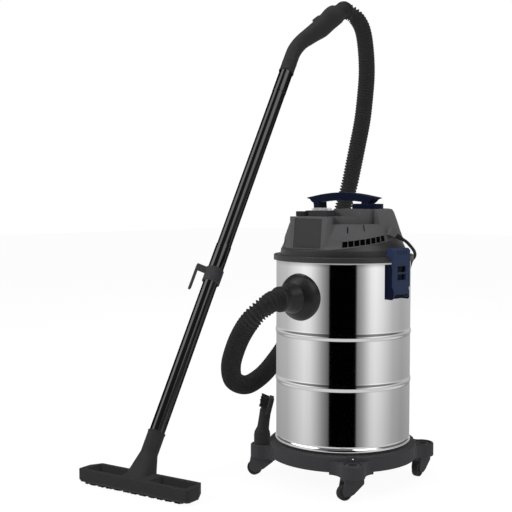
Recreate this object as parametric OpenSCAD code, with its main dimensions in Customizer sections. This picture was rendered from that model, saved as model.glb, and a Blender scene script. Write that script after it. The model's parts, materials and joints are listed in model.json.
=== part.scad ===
// Wet and dry shop vacuum: steel drum on a caster dolly, lift-off motor head
// with two latches, corrugated hose, two-piece wand, floor nozzle and a brush
// tool parked on the dolly. Millimetres, +Z up, origin on the floor at the
// drum's axis, -Y towards the hose inlet.

/* [Drum] */
// Outside radius of the steel drum
tank_r = 150; // [130:1:180]
// Height of the steel drum
tank_h = 408; // [340:1:520]
// Thickness of the drum's steel
tank_wall = 0.8; // [0.6:0.1:1.5]
// How far the stiffening beads stand proud
bead_out = 2.5; // [1:0.5:4]
// Height of a stiffening bead
bead_h = 15; // [8:1:20]
// Middle of the lower bead above the drum's foot
bead_low = 137; // [60:1:150]
// Middle of the upper bead above the drum's foot
bead_high = 245; // [180:1:260]
// Height of the drum's foot above the dolly
tank_rise = 6; // [5:1:10]

/* [Inlet] */
// Depth of the inlet's axis below the drum's edge
inlet_drop = 80; // [70:1:95]
// Radius of the inlet flange
inlet_r = 51; // [44:1:56]
// How far the flange dome stands out from the drum
inlet_out = 25; // [18:1:34]
// Bore radius of the inlet tube
inlet_bore_r = 21; // [18:0.5:22]
// Radius of the hose connector's ring
cuff_r = 27; // [25:0.5:30]
// Length of the hose connector outside the flange
cuff_len = 42; // [36:1:50]

/* [Dolly] */
// Diameter of a caster wheel
wheel_d = 33; // [28:1:40]
// Width of a caster wheel
wheel_w = 14; // [10:1:16]
// Height of the caster hood above its wheel
hood_h = 12; // [10:1:16]
// How far a wheel trails its swivel axis
caster_trail = 20; // [14:1:24]
// Radius of a caster stem
stem_r = 5; // [4:0.5:6]
// Height of the dolly's rim above the casters
dolly_h = 38; // [32:1:48]
// How far the dolly's rim stands out beyond the drum
dolly_over = 15; // [10:1:20]
// Wall thickness of the dolly
dolly_wall = 4; // [3:0.5:5]
// Distance of a lobe's middle beyond the drum
lobe_out = 32; // [29:1:38]
// Radius of a lobe
lobe_r = 26; // [25:0.5:30]
// Radius of the recess in a lobe's top
recess_r = 21.5; // [20:0.5:23]
// Radius of the accessory post in the recess
post_r = 15.5; // [12:0.5:16.5]

/* [Head] */
// How far the lid's rim stands out beyond the drum
rim_out = 6; // [5:0.5:9]
// Height of the lid's rim band
rim_h = 11.7; // [10:0.1:16]
// Height of the head above the lid's rim
head_h = 101.5; // [92:0.5:115]
// Wall thickness of the lid and the motor cover
head_wall = 3; // [2.5:0.5:4]
// Height of the joint line between lid and cover at the drum's axis
seam_z = 35; // [32:0.5:40]
// Slope of that joint line, rising to the rear
seam_tilt = 8.8; // [6:0.1:10]
// Half width of the front housing
box_hw = 57; // [50:1:60]
// Distance of the front housing's face from the axis
box_y = 128; // [124:1:132]
// Radius of the front housing's corners
box_round = 18; // [10:1:24]
// How far the front deck lies below the head's top
deck_drop = 16.5; // [10:0.5:20]

/* [Carry handle] */
// Distance from the axis to a handle leg's middle
leg_x = 67; // [60:1:72]
// Thickness of a leg along the handle
leg_t = 15; // [12:1:18]
// Width of the handle across the grip
handle_w = 27; // [22:1:32]
// Height of the handle's crown above the cover
handle_h = 36; // [34:1:50]
// Reach of the handle's pointed ends from the axis
handle_tip = 97; // [94:1:110]

/* [Latches] */
// Width of a latch lever
latch_w = 54; // [46:1:60]
// Height of a lever above its hinge pin
latch_h = 97; // [94:1:104]
// How far the lever's face stands out beyond the drum
latch_out = 22; // [21:1:28]
// Radius of the hinge pin
latch_pin_r = 2.5; // [2:0.5:3]
// Turn of the right latch about the drum, from the inlet
latch_az = 84; // [80:1:90]

/* [Motor and filter] */
// Outside radius of the fan housing
fan_can_r = 64; // [58:1:70]
// Outside radius of the motor's stator
stator_r = 44; // [38:1:48]
// Radius of the motor shaft
shaft_r = 4; // [3:0.5:5]
// Radius of the fan disc
fan_r = 56; // [48:1:57]
// Distance of the filter cartridge from the drum's outside
filter_in = 60; // [57:1:66]
// Height of the filter cartridge
filter_h = 112; // [108:1:130]
// Radius of the float
float_r = 24; // [18:1:28]
// Travel of the float up to its seat
float_travel = 30; // [20:1:32]

/* [Wand and tools] */
// Outside radius of the wand tubes
tube_r = 17.5; // [16:0.5:19]
// Wall thickness of the wand tubes
tube_wall = 1; // [0.8:0.1:1.5]
// Length of the lower tube above the nozzle's cuff
lower_len = 476; // [420:1:520]
// Length of the upper tube above the lower one
upper_len = 522; // [460:1:560]
// Overlap of two push-fitted tubes
socket_len = 60; // [45:1:63]
// Length of the floor nozzle
nozzle_len = 305; // [260:1:340]
// Depth of the floor nozzle from front to back
nozzle_dep = 65; // [56:1:74]
// Height of the floor nozzle's body above the floor
nozzle_h = 34; // [30:1:40]
// Lean of the parked wand from upright
wand_lean = 32.7; // [30:0.1:36]
// Bend between the wand and its grip
grip_bend = 34.8; // [32:0.1:37]
// Length of the grip beyond the bend
grip_len = 150; // [149:1:152]

/* [Hose and cord] */
// Outside diameter of the hose
hose_d = 42; // [38:1:42]
// Diameter of the power cord
cord_d = 7; // [6:0.5:7]

/* [Hidden] */
$fn = 64;

slack = 0.2;          // clearance between parts that seat on each other
air = 0.3;            // clearance between curved faces of moving parts
running = 0.05;       // radial clearance of a shaft in its bore
eps = 0.01;           // overshoot of a cut

// Heights, from the floor up
caster_h = wheel_d + hood_h;
dolly_z = caster_h + air;
dolly_top = dolly_z + dolly_h;
lobe_top = dolly_top - 9;
tank_z = dolly_top + tank_rise;
floor_z = tank_z + 6;
tank_top = tank_z + tank_h;
rim_z = tank_top - 5.5;
rim_top = rim_z + rim_h;
bulk_z = tank_top - 2;
bulk_t = 3;
head_z = rim_top + head_h;
deck_z = head_z - deck_drop;
seam_h = rim_top + seam_z;
inlet_z = tank_top - inlet_drop;

// Radii of the drum and what seats on it
tank_in = tank_r - tank_wall;
filter_r = tank_r - filter_in;
curl_r = 1.2;
seat_ro = tank_r - 7;
seat_ri = tank_r - 18;
dolly_r = tank_r + dolly_over;
lobe_d = tank_r + lobe_out;
lobe_turns = [-45, 45, 135, -135];
recess_dep = 14;
stem_len = 12.5;

// Caster rest directions, in the order of lobe_turns
trail_turns = [-113, -84, 60, -168];

DARK = [0.21, 0.21, 0.22];
GREY = [0.31, 0.31, 0.32];
NAVY = [0.13, 0.19, 0.32];
BLACK = [0.09, 0.09, 0.095];
STEEL = [0.78, 0.79, 0.80];

// ---------------------------------------------------------------- helpers

// Turns the drum's front (-Y) to an angle counted towards +X, with local +X outwards.
module at_turn(az) rotate([0, 0, az - 90]) children();

module tube(r, ri, h) difference() {
    cylinder(r = r, h = h);
    translate([0, 0, -1]) cylinder(r = ri, h = h + 2);
}

// Plate of a given XZ outline, centred on Y.
module xz_plate(points, t) rotate([90, 0, 0]) linear_extrude(t, center = true) polygon(points);

// Plate of a given YZ outline, centred on X.
module yz_plate(points, t) rotate([90, 0, 90]) linear_extrude(t, center = true) polygon(points);

// Quarter turns of a rounded rectangle's corners.
function round_rect(w, d, r, steps = 6) = [
    for (c = [[1, 1, 0], [-1, 1, 90], [-1, -1, 180], [1, -1, 270]], i = [0:steps])
        [c[0] * (w / 2 - r) + r * cos(c[2] + 90 * i / steps),
         c[1] * (d / 2 - r) + r * sin(c[2] + 90 * i / steps)]];

module rounded_slab(w, d, h, r) linear_extrude(h) polygon(round_rect(w, d, r));

function unit(v) = v / norm(v);

// Directions along a route, and normals carried along it without twist.
function tangents(p) = [for (i = [0:len(p) - 1])
    unit(p[min(i + 1, len(p) - 1)] - p[max(i - 1, 0)])];
function flat_to(v, t) = unit(v - (v * t) * t);
function carried(t, first) = [for (i = 0, n = flat_to(first, t[0]); i < len(t);
    i = i + 1, n = i < len(t) ? flat_to(n, t[i]) : n) n];

// One closed tube along a route.
module swept_tube(route, r, sides, first) {
    t = tangents(route);
    n = carried(t, first);
    points = [for (i = [0:len(route) - 1], k = [0:sides - 1])
        route[i] + r * (cos(360 * k / sides) * n[i] + sin(360 * k / sides) * cross(t[i], n[i]))];
    function at(i, k) = i * sides + k % sides;
    last = len(route) - 1;
    faces = concat(
        [for (k = [1:sides - 2]) [at(0, 0), at(0, k), at(0, k + 1)]],
        [for (k = [1:sides - 2]) [at(last, 0), at(last, k + 1), at(last, k)]],
        [for (i = [0:last - 1], k = [0:sides - 1]) [at(i, k), at(i + 1, k), at(i + 1, k + 1)]],
        [for (i = [0:last - 1], k = [0:sides - 1]) [at(i, k), at(i + 1, k + 1), at(i, k + 1)]]);
    polyhedron(points, faces);
}

// Smooth curve through a route's points, with one more ring in each gap.
function through(p) = [for (i = [0:len(p) - 2], h = [0, 0.5])
    let (a = p[max(i - 1, 0)], b = p[i], c = p[i + 1], d = p[min(i + 2, len(p) - 1)])
    h == 0 ? b : (9 * (b + c) - a - d) / 16];

// ------------------------------------------------------------------ dolly

// Concave webs that blend a lobe into the rim.
module lobe_web(h) {
    web_r = 30;
    far = dolly_r + web_r;
    near = lobe_r + web_r;
    turn = acos((far * far + lobe_d * lobe_d - near * near) / (2 * far * lobe_d));
    middle = [far * cos(turn), far * sin(turn)];
    lobe = [lobe_d, 0];
    touch = lobe + unit(middle - lobe) * lobe_r;
    difference() {
        linear_extrude(h) polygon([[seat_ro, 0], [dolly_r * cos(turn), dolly_r * sin(turn)], middle,
                                   touch, lobe]);
        translate([middle[0], middle[1], -1]) cylinder(r = web_r - 0.4, h = h + 2);
    }
}

module lobe() {
    h = lobe_top - dolly_z;
    translate([lobe_d, 0, 0]) {
        cylinder(r = lobe_r, h = h - 2);
        translate([0, 0, h - 2]) cylinder(r1 = lobe_r, r2 = lobe_r - 2, h = 2);
    }
    lobe_web(h - 1);
    mirror([0, 1, 0]) lobe_web(h - 1);
}

module dolly_ring() rotate_extrude() polygon([
    [0, dolly_top - dolly_wall], [dolly_r - dolly_wall, dolly_top - dolly_wall],
    [dolly_r - dolly_wall, dolly_z + 5], [dolly_r, dolly_z + 5], [dolly_r, dolly_top - 2],
    [dolly_r - 2, dolly_top], [seat_ro, dolly_top], [seat_ro, floor_z - air],
    [seat_ri, floor_z - air], [seat_ri, dolly_top], [0, dolly_top]]);

module dolly() color(DARK) difference() {
    union() {
        difference() {
            union() {
                dolly_ring();
                for (a = lobe_turns) rotate([0, 0, a]) translate([0, 0, dolly_z]) lobe();
                for (a = [0:45:315]) rotate([0, 0, a]) translate([20, -1.5, dolly_top - 18])
                    cube([dolly_r - dolly_wall - 19, 3, 15]);
            }
            for (a = lobe_turns) rotate([0, 0, a]) translate([lobe_d, 0, lobe_top - recess_dep])
                cylinder(r = recess_r, h = recess_dep + 10);
        }
        for (a = lobe_turns) rotate([0, 0, a]) translate([lobe_d, 0, lobe_top - recess_dep - 1])
            cylinder(r = post_r, h = recess_dep - 1);
    }
    for (a = lobe_turns) rotate([0, 0, a]) {
        translate([lobe_d, 0, lobe_top - recess_dep + 2])
            cylinder(r = post_r - 5, h = recess_dep + 10);
        translate([lobe_d, 0, dolly_z - 1]) cylinder(r = stem_r + running, h = stem_len + 2);
    }
    for (a = [0:90:270]) rotate([0, 0, a]) translate([screw_ring, 0, dolly_top - 20]) {
        cylinder(r = screw_r + slack, h = 40);
        cylinder(r = head_r + 1, h = 20 - dolly_wall);
    }
}

screw_ring = (seat_ro + seat_ri) / 2;
screw_r = 2.5;
head_r = 5;

module dolly_screws() color(STEEL) for (a = [0:90:270]) rotate([0, 0, a])
    translate([screw_ring, 0, 0]) {
        translate([0, 0, dolly_top - dolly_wall - 3 - slack]) cylinder(r = head_r, h = 3);
        translate([0, 0, dolly_top - dolly_wall - 1]) cylinder(r = screw_r, h = floor_z - dolly_top + 14);
        translate([0, 0, floor_z + 1 + slack]) cylinder(r = 4.5, h = 4, $fn = 6);
    }

// ---------------------------------------------------------------- casters

cheek_in = wheel_w / 2 + 0.7;
cheek_t = 3;

module at_caster(i) rotate([0, 0, lobe_turns[i]]) translate([lobe_d, 0, 0])
    rotate([0, 0, trail_turns[i] - lobe_turns[i]]) children();

module caster_fork() {
    r = wheel_d / 2;
    for (s = [-1, 1]) translate([0, s * (cheek_in + cheek_t / 2), 0])
        xz_plate([[-22, caster_h], [-22, caster_h - 13], [caster_trail - 18, r - 4],
                  [caster_trail - 8, r - 8], [caster_trail + 5, r - 6], [caster_trail + 9, r + 3],
                  [caster_trail + 4, caster_h]], cheek_t);
    translate([-22, -cheek_in - eps, caster_h - 4]) cube([caster_trail + 26, 2 * cheek_in + 2 * eps, 4]);
    translate([-22, -cheek_in - eps, caster_h - 13]) cube([3, 2 * cheek_in + 2 * eps, 13]);
    translate([0, 0, caster_h - 2]) cylinder(r = stem_r, h = 2 + air + stem_len);
    translate([caster_trail, 0, r]) rotate([90, 0, 0]) cylinder(r = 3, h = 2 * cheek_in + cheek_t, center = true);
}

module caster_wheel() translate([caster_trail, 0, wheel_d / 2]) rotate([90, 0, 0]) difference() {
    rotate_extrude() polygon([[3 + running, -wheel_w / 2 + 1], [wheel_d / 2 - 5, -wheel_w / 2 + 1],
        [wheel_d / 2 - 4, -wheel_w / 2], [wheel_d / 2 - 1.5, -wheel_w / 2], [wheel_d / 2, -wheel_w / 2 + 2],
        [wheel_d / 2, wheel_w / 2 - 2], [wheel_d / 2 - 1.5, wheel_w / 2], [wheel_d / 2 - 4, wheel_w / 2],
        [wheel_d / 2 - 5, wheel_w / 2 - 1], [3 + running, wheel_w / 2 - 1]]);
}

module caster(i) color(DARK) at_caster(i) caster_fork();
module wheel(i) color(BLACK) at_caster(i) caster_wheel();

// ------------------------------------------------------------------- drum

function bead(z, r) = [for (t = [0:20:180]) [r + bead_out * sin(t), z - bead_h / 2 * cos(t)]];
function drum_side(r) = concat(
    [[r - 2, tank_z + 8], [r - 2, tank_z + 11], [r, tank_z + 15]],
    bead(tank_z + bead_low, r), bead(tank_z + bead_high, r), [[r, tank_top - curl_r]]);
function backwards(p) = [for (i = [len(p) - 1:-1:0]) p[i]];

module tank_shell() color(STEEL) difference() {
    union() {
        rotate_extrude() polygon(concat(drum_side(tank_r), backwards(drum_side(tank_in))));
        rotate_extrude() translate([tank_r + 0.3, tank_top - curl_r]) circle(r = curl_r);
        rotate_extrude() polygon([[tank_r - 3, tank_z + 1], [tank_r - 1, tank_z], [tank_r + 1, tank_z],
            [tank_r + 2, tank_z + 1], [tank_r + 2, tank_z + 4], [tank_r + 1, tank_z + 6],
            [tank_r - 2, tank_z + 8 + eps], [tank_r - 3, tank_z + 8 + eps]]);
    }
    translate([0, -tank_r, inlet_z]) rotate([90, 0, 0])
        cylinder(r = spigot_r + slack, h = 60, center = true);
    for (s = [0, 1]) rotate([0, 0, 180 * s]) latch_rivet_holes();
}

module tank_floor() color(STEEL) difference() {
    union() {
        translate([0, 0, floor_z]) cylinder(r = tank_r - 3 - slack, h = 1);
        translate([0, 0, tank_z + 1]) tube(tank_r - 3 - slack, tank_r - 4.5, floor_z - tank_z - 0.5);
    }
    for (a = [0:90:270]) rotate([0, 0, a]) translate([screw_ring, 0, floor_z - 2])
        cylinder(r = screw_r + slack, h = 6);
}

// ------------------------------------------------------------------ inlet

spigot_r = inlet_bore_r + 3;
flange_y = tank_r + inlet_out;
cuff_bore_r = 17;

// Local +Z points out of the inlet, from the drum's axis.
module at_inlet() translate([0, 0, inlet_z]) rotate([90, 0, 0]) children();

module inlet_flange() color(BLACK) difference() {
    union() {
        difference() {
            at_inlet() rotate_extrude() polygon([[spigot_r - 1, tank_r - 14], [inlet_r, tank_r - 14],
                [inlet_r, tank_r + 1], [inlet_r - 1, tank_r + 5], [inlet_r - 4, tank_r + 11],
                [inlet_r - 9, tank_r + 17], [inlet_r - 14, flange_y - 3], [inlet_r - 18, flange_y],
                [spigot_r - 1, flange_y]]);
            translate([0, 0, inlet_z - 70]) cylinder(r = tank_r + slack, h = 140);
        }
        at_inlet() translate([0, 0, tank_r - 24]) cylinder(r = spigot_r, h = inlet_out + 20);
    }
    at_inlet() translate([0, 0, tank_r - 30]) cylinder(r = inlet_bore_r, h = inlet_out + 40);
}

module inlet_nut() color(BLACK) intersection() {
    at_inlet() translate([0, 0, tank_r - 14]) difference() {
        cylinder(r = inlet_r - 15, h = 14);
        translate([0, 0, -1]) cylinder(r = spigot_r + slack, h = 16);
    }
    translate([0, 0, inlet_z - 60]) cylinder(r = tank_in - slack, h = 120);
}

// Hood inside the drum that turns the inlet air downwards.
module inlet_deflector() color(BLACK) translate([0, -(tank_r - 24 - slack), inlet_z]) difference() {
    union() {
        difference() {
            sphere(r = spigot_r + 8.4);
            sphere(r = spigot_r + 5.8);
            translate([0, -50, 0]) cube([120, 100, 120], center = true);
        }
        translate([0, 1, 0]) rotate([90, 0, 0]) tube(spigot_r + 8, spigot_r + 5.5, 11 - slack);
    }
    translate([0, 0, -60 - 6]) cube([120, 120, 120], center = true);
}

module hose_cuff_tank() color(BLACK) at_inlet() difference() {
    union() {
        translate([0, 0, tank_r - 20]) cylinder(r = inlet_bore_r - slack, h = inlet_out + 22);
        translate([0, 0, flange_y + slack]) {
            cylinder(r = cuff_r + 6, h = 3);
            translate([0, 0, 3]) cylinder(r1 = cuff_r + 6, r2 = cuff_r - 2, h = 22);
            translate([0, 0, 25]) cylinder(r = cuff_r - 2, h = cuff_len - 34);
            translate([0, 0, cuff_len - 12]) cylinder(r = cuff_r, h = 12);
        }
    }
    translate([0, 0, tank_r - 30]) cylinder(r = cuff_bore_r, h = 200);
    translate([0, 0, flange_y + cuff_len - 6]) cylinder(r = hose_d / 2 + slack, h = 20);
}

// ---------------------------------------------------------------- latches

pin_z = tank_top - 71.3;
face_r = tank_r + latch_out;
boss_r = 9;
pin_rr = face_r - boss_r;
hook_z = rim_top + air;
hook_r = tank_r + 2 + air;
lever_in = latch_w / 2 - 3;
bracket_z = pin_z - 12;
bracket_h = 74;
rivet_zs = [16, 56];

module latch_rivet_holes() at_turn(latch_az) for (z = rivet_zs)
    translate([tank_r, 0, bracket_z + z]) rotate([0, 90, 0]) cylinder(r = 2 + slack, h = 20, center = true);

// Base plate on the drum, with two cheeks that carry the hinge pin.
module latch_bracket() difference() {
    union() {
        intersection() {
            translate([tank_r - 14, -latch_w / 2, bracket_z]) cube([17.5, latch_w, bracket_h]);
            translate([0, 0, bracket_z]) difference() {
                cylinder(r = tank_r + 3.5, h = bracket_h);
                translate([0, 0, -1]) cylinder(r = tank_r + slack, h = bracket_h + 2);
            }
        }
        for (s = [-1, 1]) difference() {
            translate([0, s * (latch_w / 2 - 1.5), 0])
                xz_plate([[tank_r - 9, bracket_z], [pin_rr + 5, bracket_z], [pin_rr + 7, bracket_z + 4],
                          [pin_rr + 7, pin_z + 6], [pin_rr + 2, pin_z + 14],
                          [pin_rr + 2, bracket_z + bracket_h - 6], [pin_rr - 3, bracket_z + bracket_h],
                          [tank_r - 9, bracket_z + bracket_h]], 3);
            translate([0, 0, bracket_z - 1]) cylinder(r = tank_r + slack, h = bracket_h + 2);
        }
    }
    translate([pin_rr, 0, pin_z]) rotate([90, 0, 0])
        cylinder(r = latch_pin_r + slack, h = latch_w + 2, center = true);
    translate([tank_r, 0, 0]) for (z = rivet_zs) translate([0, 0, bracket_z + z])
        rotate([0, 90, 0]) cylinder(r = 2 + slack, h = 20, center = true);
}

// Lever: hinge boss, two cheeks, face plate with a window, and the hook over the rim.
module latch_lever() {
    cheek_y = lever_in - 0.5 - 1.5;
    top = pin_z + latch_h;
    difference() {
        union() {
            for (s = [-1, 1]) translate([0, s * cheek_y, 0]) difference() {
                union() {
                    translate([pin_rr, 0, pin_z]) rotate([90, 0, 0])
                        cylinder(r = boss_r, h = 3, center = true);
                    xz_plate([[pin_rr - 7, pin_z + 5.5], [face_r, pin_z], [face_r, top - 4],
                              [face_r - 8, top - 4], [face_r - 9, rim_z - 4], [face_r - 12, pin_z + 40]], 3);
                }
            }
            translate([face_r - 4, -latch_w / 2, pin_z + 14]) cube([4, latch_w, latch_h - 18]);
            translate([face_r - 4, -cheek_y - 1.5, pin_z]) cube([4, 2 * cheek_y + 3, 20]);
            xz_plate([[hook_r, hook_z], [face_r - 2, hook_z], [face_r, hook_z + 2], [face_r, top - 6],
                [face_r - 5, top], [hook_r + 4, top], [hook_r, hook_z + 8]], latch_w);
        }
        translate([pin_rr, 0, pin_z]) rotate([90, 0, 0])
            cylinder(r = latch_pin_r + running, h = latch_w, center = true);
        for (z = [29, 46]) translate([face_r - 6, -13, pin_z + z]) cube([8, 26, 13]);
        for (i = [-2:2]) translate([face_r - 1.5, i * 7 - 1, top - 14]) cube([4, 2, 16]);
    }
}

module latch_side(side) at_turn(side > 0 ? latch_az : latch_az + 180) children();

module bracket(side) color(NAVY) latch_side(side) latch_bracket();
module lever(side) color(NAVY) latch_side(side) latch_lever();

module latch_pins() color(STEEL) for (s = [-1, 1]) latch_side(s)
    translate([pin_rr, 0, pin_z]) rotate([90, 0, 0])
        cylinder(r = latch_pin_r, h = latch_w - 1, center = true);

module latch_rivets() color(STEEL) for (s = [-1, 1]) latch_side(s) for (z = rivet_zs)
    translate([tank_in - 2.5, 0, bracket_z + z]) rotate([0, 90, 0]) {
        cylinder(r = 3.5, h = 2);
        cylinder(r = 2, h = 6.5 + tank_wall);
    }

// ------------------------------------------------------------------- head

// Outline of the head above the rim: offset from the drum, share of the head's height.
HEAD = [[-9, 0], [-10, 0.12], [-11.5, 0.14], [-17, 0.25], [-18.5, 0.377], [-25, 0.558], [-32, 0.769],
        [-38, 0.925], [-42, 0.985], [-48, 1]];
function head_at(i) = [tank_r + HEAD[i][0], rim_top + HEAD[i][1] * head_h];
ledge_z = rim_top + 0.68 * head_h;
ledge_r = tank_r - 50;
hump_y = -52;
hump_x = [-30, 20];
scoop_from = 26;
scoop_to = 78;

// The head's outer form, shrunk by its wall for the hollow inside.
module head_form(t) difference() {
    union() {
        rotate_extrude() polygon(concat([[0, rim_top - 30]], [[tank_r + HEAD[0][0] - t, rim_top - 30]],
            [for (i = [0:len(HEAD) - 1]) [head_at(i)[0] - t, min(head_at(i)[1], head_z - t)]],
            [[0, head_z - t]]));
        intersection() {
            yz_plate([[face_y(seam_h - 30) + t, seam_h - 30], [face_y(deck_z) + t, deck_z - t],
                      [-40, deck_z - t], [-40, seam_h - 30]], 2 * (box_hw - t));
            translate([0, 0, seam_h - 40]) rounded_slab(2 * (box_hw - t), 2 * (box_y - t), head_h, box_round - t);
        }
    }
    for (s = [0, 1]) mirror([s, 0, 0]) at_turn(0) scoop(t);
    // Flat front above the joint line, down to a ledge on the lid
    yz_plate([[-220, seam_at(-220) - t], [face_y(seam_at(-box_y)) + t, seam_at(-box_y) - t],
              [face_y(head_z) + t, head_z + 20], [-220, head_z + 20]], 2 * box_hw);
    // Deck before the hump, and beside it on the left
    yz_plate([[-220, deck_z - t], [hump_y + t, deck_z - t], [hump_y + t, head_z + 20],
              [-220, head_z + 20]], 400);
    xz_plate([[-220, deck_z - t], [hump_x[0], deck_z - t], [hump_x[1], head_z - t],
              [hump_x[1], head_z + 20], [-220, head_z + 20]], 500);
}

function ray(a) = [cos(a), sin(a)];

// Ledge cut out of the cover beside the front housing.
module scoop(t) {
    far = tank_r + 60;
    intersection() {
        translate([0, 0, ledge_z - t]) tube(far - 1, ledge_r - t, head_h);
        translate([0, 0, ledge_z - t - 1]) linear_extrude(head_h) polygon([
            t * ray(scoop_from - 90), far * ray(scoop_from) + t * ray(scoop_from - 90),
            far * 1.2 * ray((scoop_from + scoop_to) / 2), far * ray(scoop_to) + t * ray(scoop_to + 90),
            t * ray(scoop_to + 90)]);
    }
}

// Height of the sloping joint line, and everything above (or below) it.
function seam_at(y) = seam_h + y * tan(seam_tilt);
module above_seam(gap) translate([0, 0, seam_h + gap]) rotate([seam_tilt, 0, 0])
    translate([-250, -250, 0]) cube([500, 500, 300]);
module below_seam(gap) translate([0, 0, seam_h - gap]) rotate([seam_tilt, 0, 0])
    translate([-250, -250, -300]) cube([500, 500, 300]);

skirt_ro = tank_r - 1.6;
skirt_ri = skirt_ro - 3;
intake_r = 30;
cover_post_ring = tank_r - 50;
cover_post_r = 6;

module lid() color(GREY) difference() {
    union() {
        difference() {
            head_form(0);
            head_form(head_wall);
            above_seam(0);
            translate([0, 0, rim_top - 60]) cylinder(r = tank_r + 40, h = 60 - 3.5);
        }
        rotate_extrude() polygon([[skirt_ri, tank_top - 20], [skirt_ro, tank_top - 20],
            [skirt_ro, rim_top - 3.5], [tank_r + 1.8, rim_top - 3.5], [tank_r + 1.8, rim_z],
            [tank_r + rim_out, rim_z], [tank_r + rim_out, rim_top - 1], [tank_r + rim_out - 1, rim_top],
            [tank_r - 10, rim_top], [tank_r - 10, rim_top - 3], [skirt_ri, rim_top - 3]]);
        translate([0, 0, bulk_z]) tube(skirt_ri + eps, intake_r, bulk_t);
    }
    for (a = [45:90:315]) rotate([0, 0, a]) translate([cover_post_ring, 0, bulk_z - 1])
        cylinder(r = 2.2, h = bulk_t + 2);
}

module lid_seal() color(BLACK) translate([0, 0, tank_top + 0.1])
    tube(tank_r + 1.5, skirt_ro + 0.3, rim_top - 3.5 - tank_top - 0.2);

module vent_window(from, to, lift, high, out) intersection() {
    translate([0, 0, seam_h + lift]) rotate([seam_tilt, 0, 0]) translate([-250, -250, 0])
        cube([500, 500, high]);
    at_turn(0) linear_extrude(head_z) polygon([[0, 0], [220 * cos(from), 220 * sin(from)],
        [220 * cos(to), 220 * sin(to)]]);
    cylinder(r = out, h = head_z);
}

vent_from = 37;
vent_to = 81;
vent_bars = 7;

module motor_cover() color(GREY) difference() {
    union() {
        difference() {
            head_form(0);
            head_form(head_wall);
            below_seam(-slack);
            for (s = [0, 1]) mirror([s, 0, 0]) {
                for (i = [0:vent_bars]) let (step = (vent_to - vent_from) / (vent_bars + 1))
                    vent_window(vent_from + i * step, vent_from + (i + 1) * step - 0.6, 1.6, 12.4, tank_r);
                for (a = [41.5, 58]) vent_window(a, a + 1.2, 30, 13, tank_r - 10);
            }
        }
        for (i = [0:3]) rotate([0, 0, 45 + 90 * i]) translate([cover_post_ring, 0, bulk_z + bulk_t + slack])
            cylinder(r = cover_post_r, h = post_tops[i] - bulk_z - bulk_t - slack - head_wall);
        intersection() {
            cord_boss();
            difference() {
                above_seam(slack);
                head_form(head_wall);
            }
        }
    }
    for (a = [45:90:315]) rotate([0, 0, a]) translate([cover_post_ring, 0, bulk_z])
        cylinder(r = 2.1, h = 24);
    for (s = [-1, 1]) translate([s * leg_x, 0, foot_z(s) - 10]) cylinder(r = 2.7, h = 20);
    translate([0, switch_y, deck_z]) cube([30, 20, 20], center = true);
    cord_route_bore();
    panel_recess();
}

// Skin heights over the four screw posts, from the rear right round by the left.
post_tops = [head_z + eps, deck_z + eps, ledge_z + 1, ledge_z + 1];

// Boss where the power cord leaves, and the bore through it.
exit_pt = [tank_r - 14, 3, rim_top + 47.5];
exit_dir = unit([4, 16, -8]);
gland_len = 24;
module along_exit(from) translate(exit_pt + from * exit_dir)
    rotate([0, acos(exit_dir[2]), atan2(exit_dir[1], exit_dir[0])]) children();
module cord_boss() {
    along_exit(-16) cylinder(r = 9, h = 16);
    along_exit(-16) translate([-9, -9, 0.5]) cube([18, 9, 12]);
}
module cord_route_bore() {
    along_exit(-12) cylinder(r = 6, h = 40);
    translate([0, 0, exit_pt[2] + 4]) rotate([0, 90, 0]) cylinder(r = 3, h = exit_pt[0] - 2);
}

module cord_gland() color(BLACK) along_exit(-8) difference() {
    union() {
        cylinder(r = 6 - slack, h = 10);
        translate([0, 0, 10]) cylinder(r1 = 6 - slack, r2 = cord_d / 2 + 1, h = gland_len - 2);
    }
}

panel_hw = box_hw - box_round - 1;
panel_z = [seam_at(-box_y) + 3, deck_z - 4];
function face_y(z) = -box_y + 6 / 69 * (z - seam_at(-box_y));
module panel_plate(dep, hw, grow) yz_plate([[face_y(panel_z[0] - grow) - 1, panel_z[0] - grow],
    [face_y(panel_z[1] + grow) - 1, panel_z[1] + grow],
    [face_y(panel_z[1] + grow) + dep, panel_z[1] + grow],
    [face_y(panel_z[0] - grow) + dep, panel_z[0] - grow]], 2 * hw);
module panel_recess() panel_plate(1.6, panel_hw, 0);
module front_panel() color([0.27, 0.27, 0.28]) translate([0, 1.5, 0]) panel_plate(0, panel_hw - slack, -slack);

// ----------------------------------------------------------- carry handle

foot_r = 34;
foot_h = 11;
function foot_z(s) = s > 0 ? head_z : deck_z;
function arch(x0, z0, x1, z1, rise, n) = [for (i = [0:n])
    [x0 + (x1 - x0) * i / n, z0 + (z1 - z0) * i / n + rise * sin(180 * i / n)]];

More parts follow.
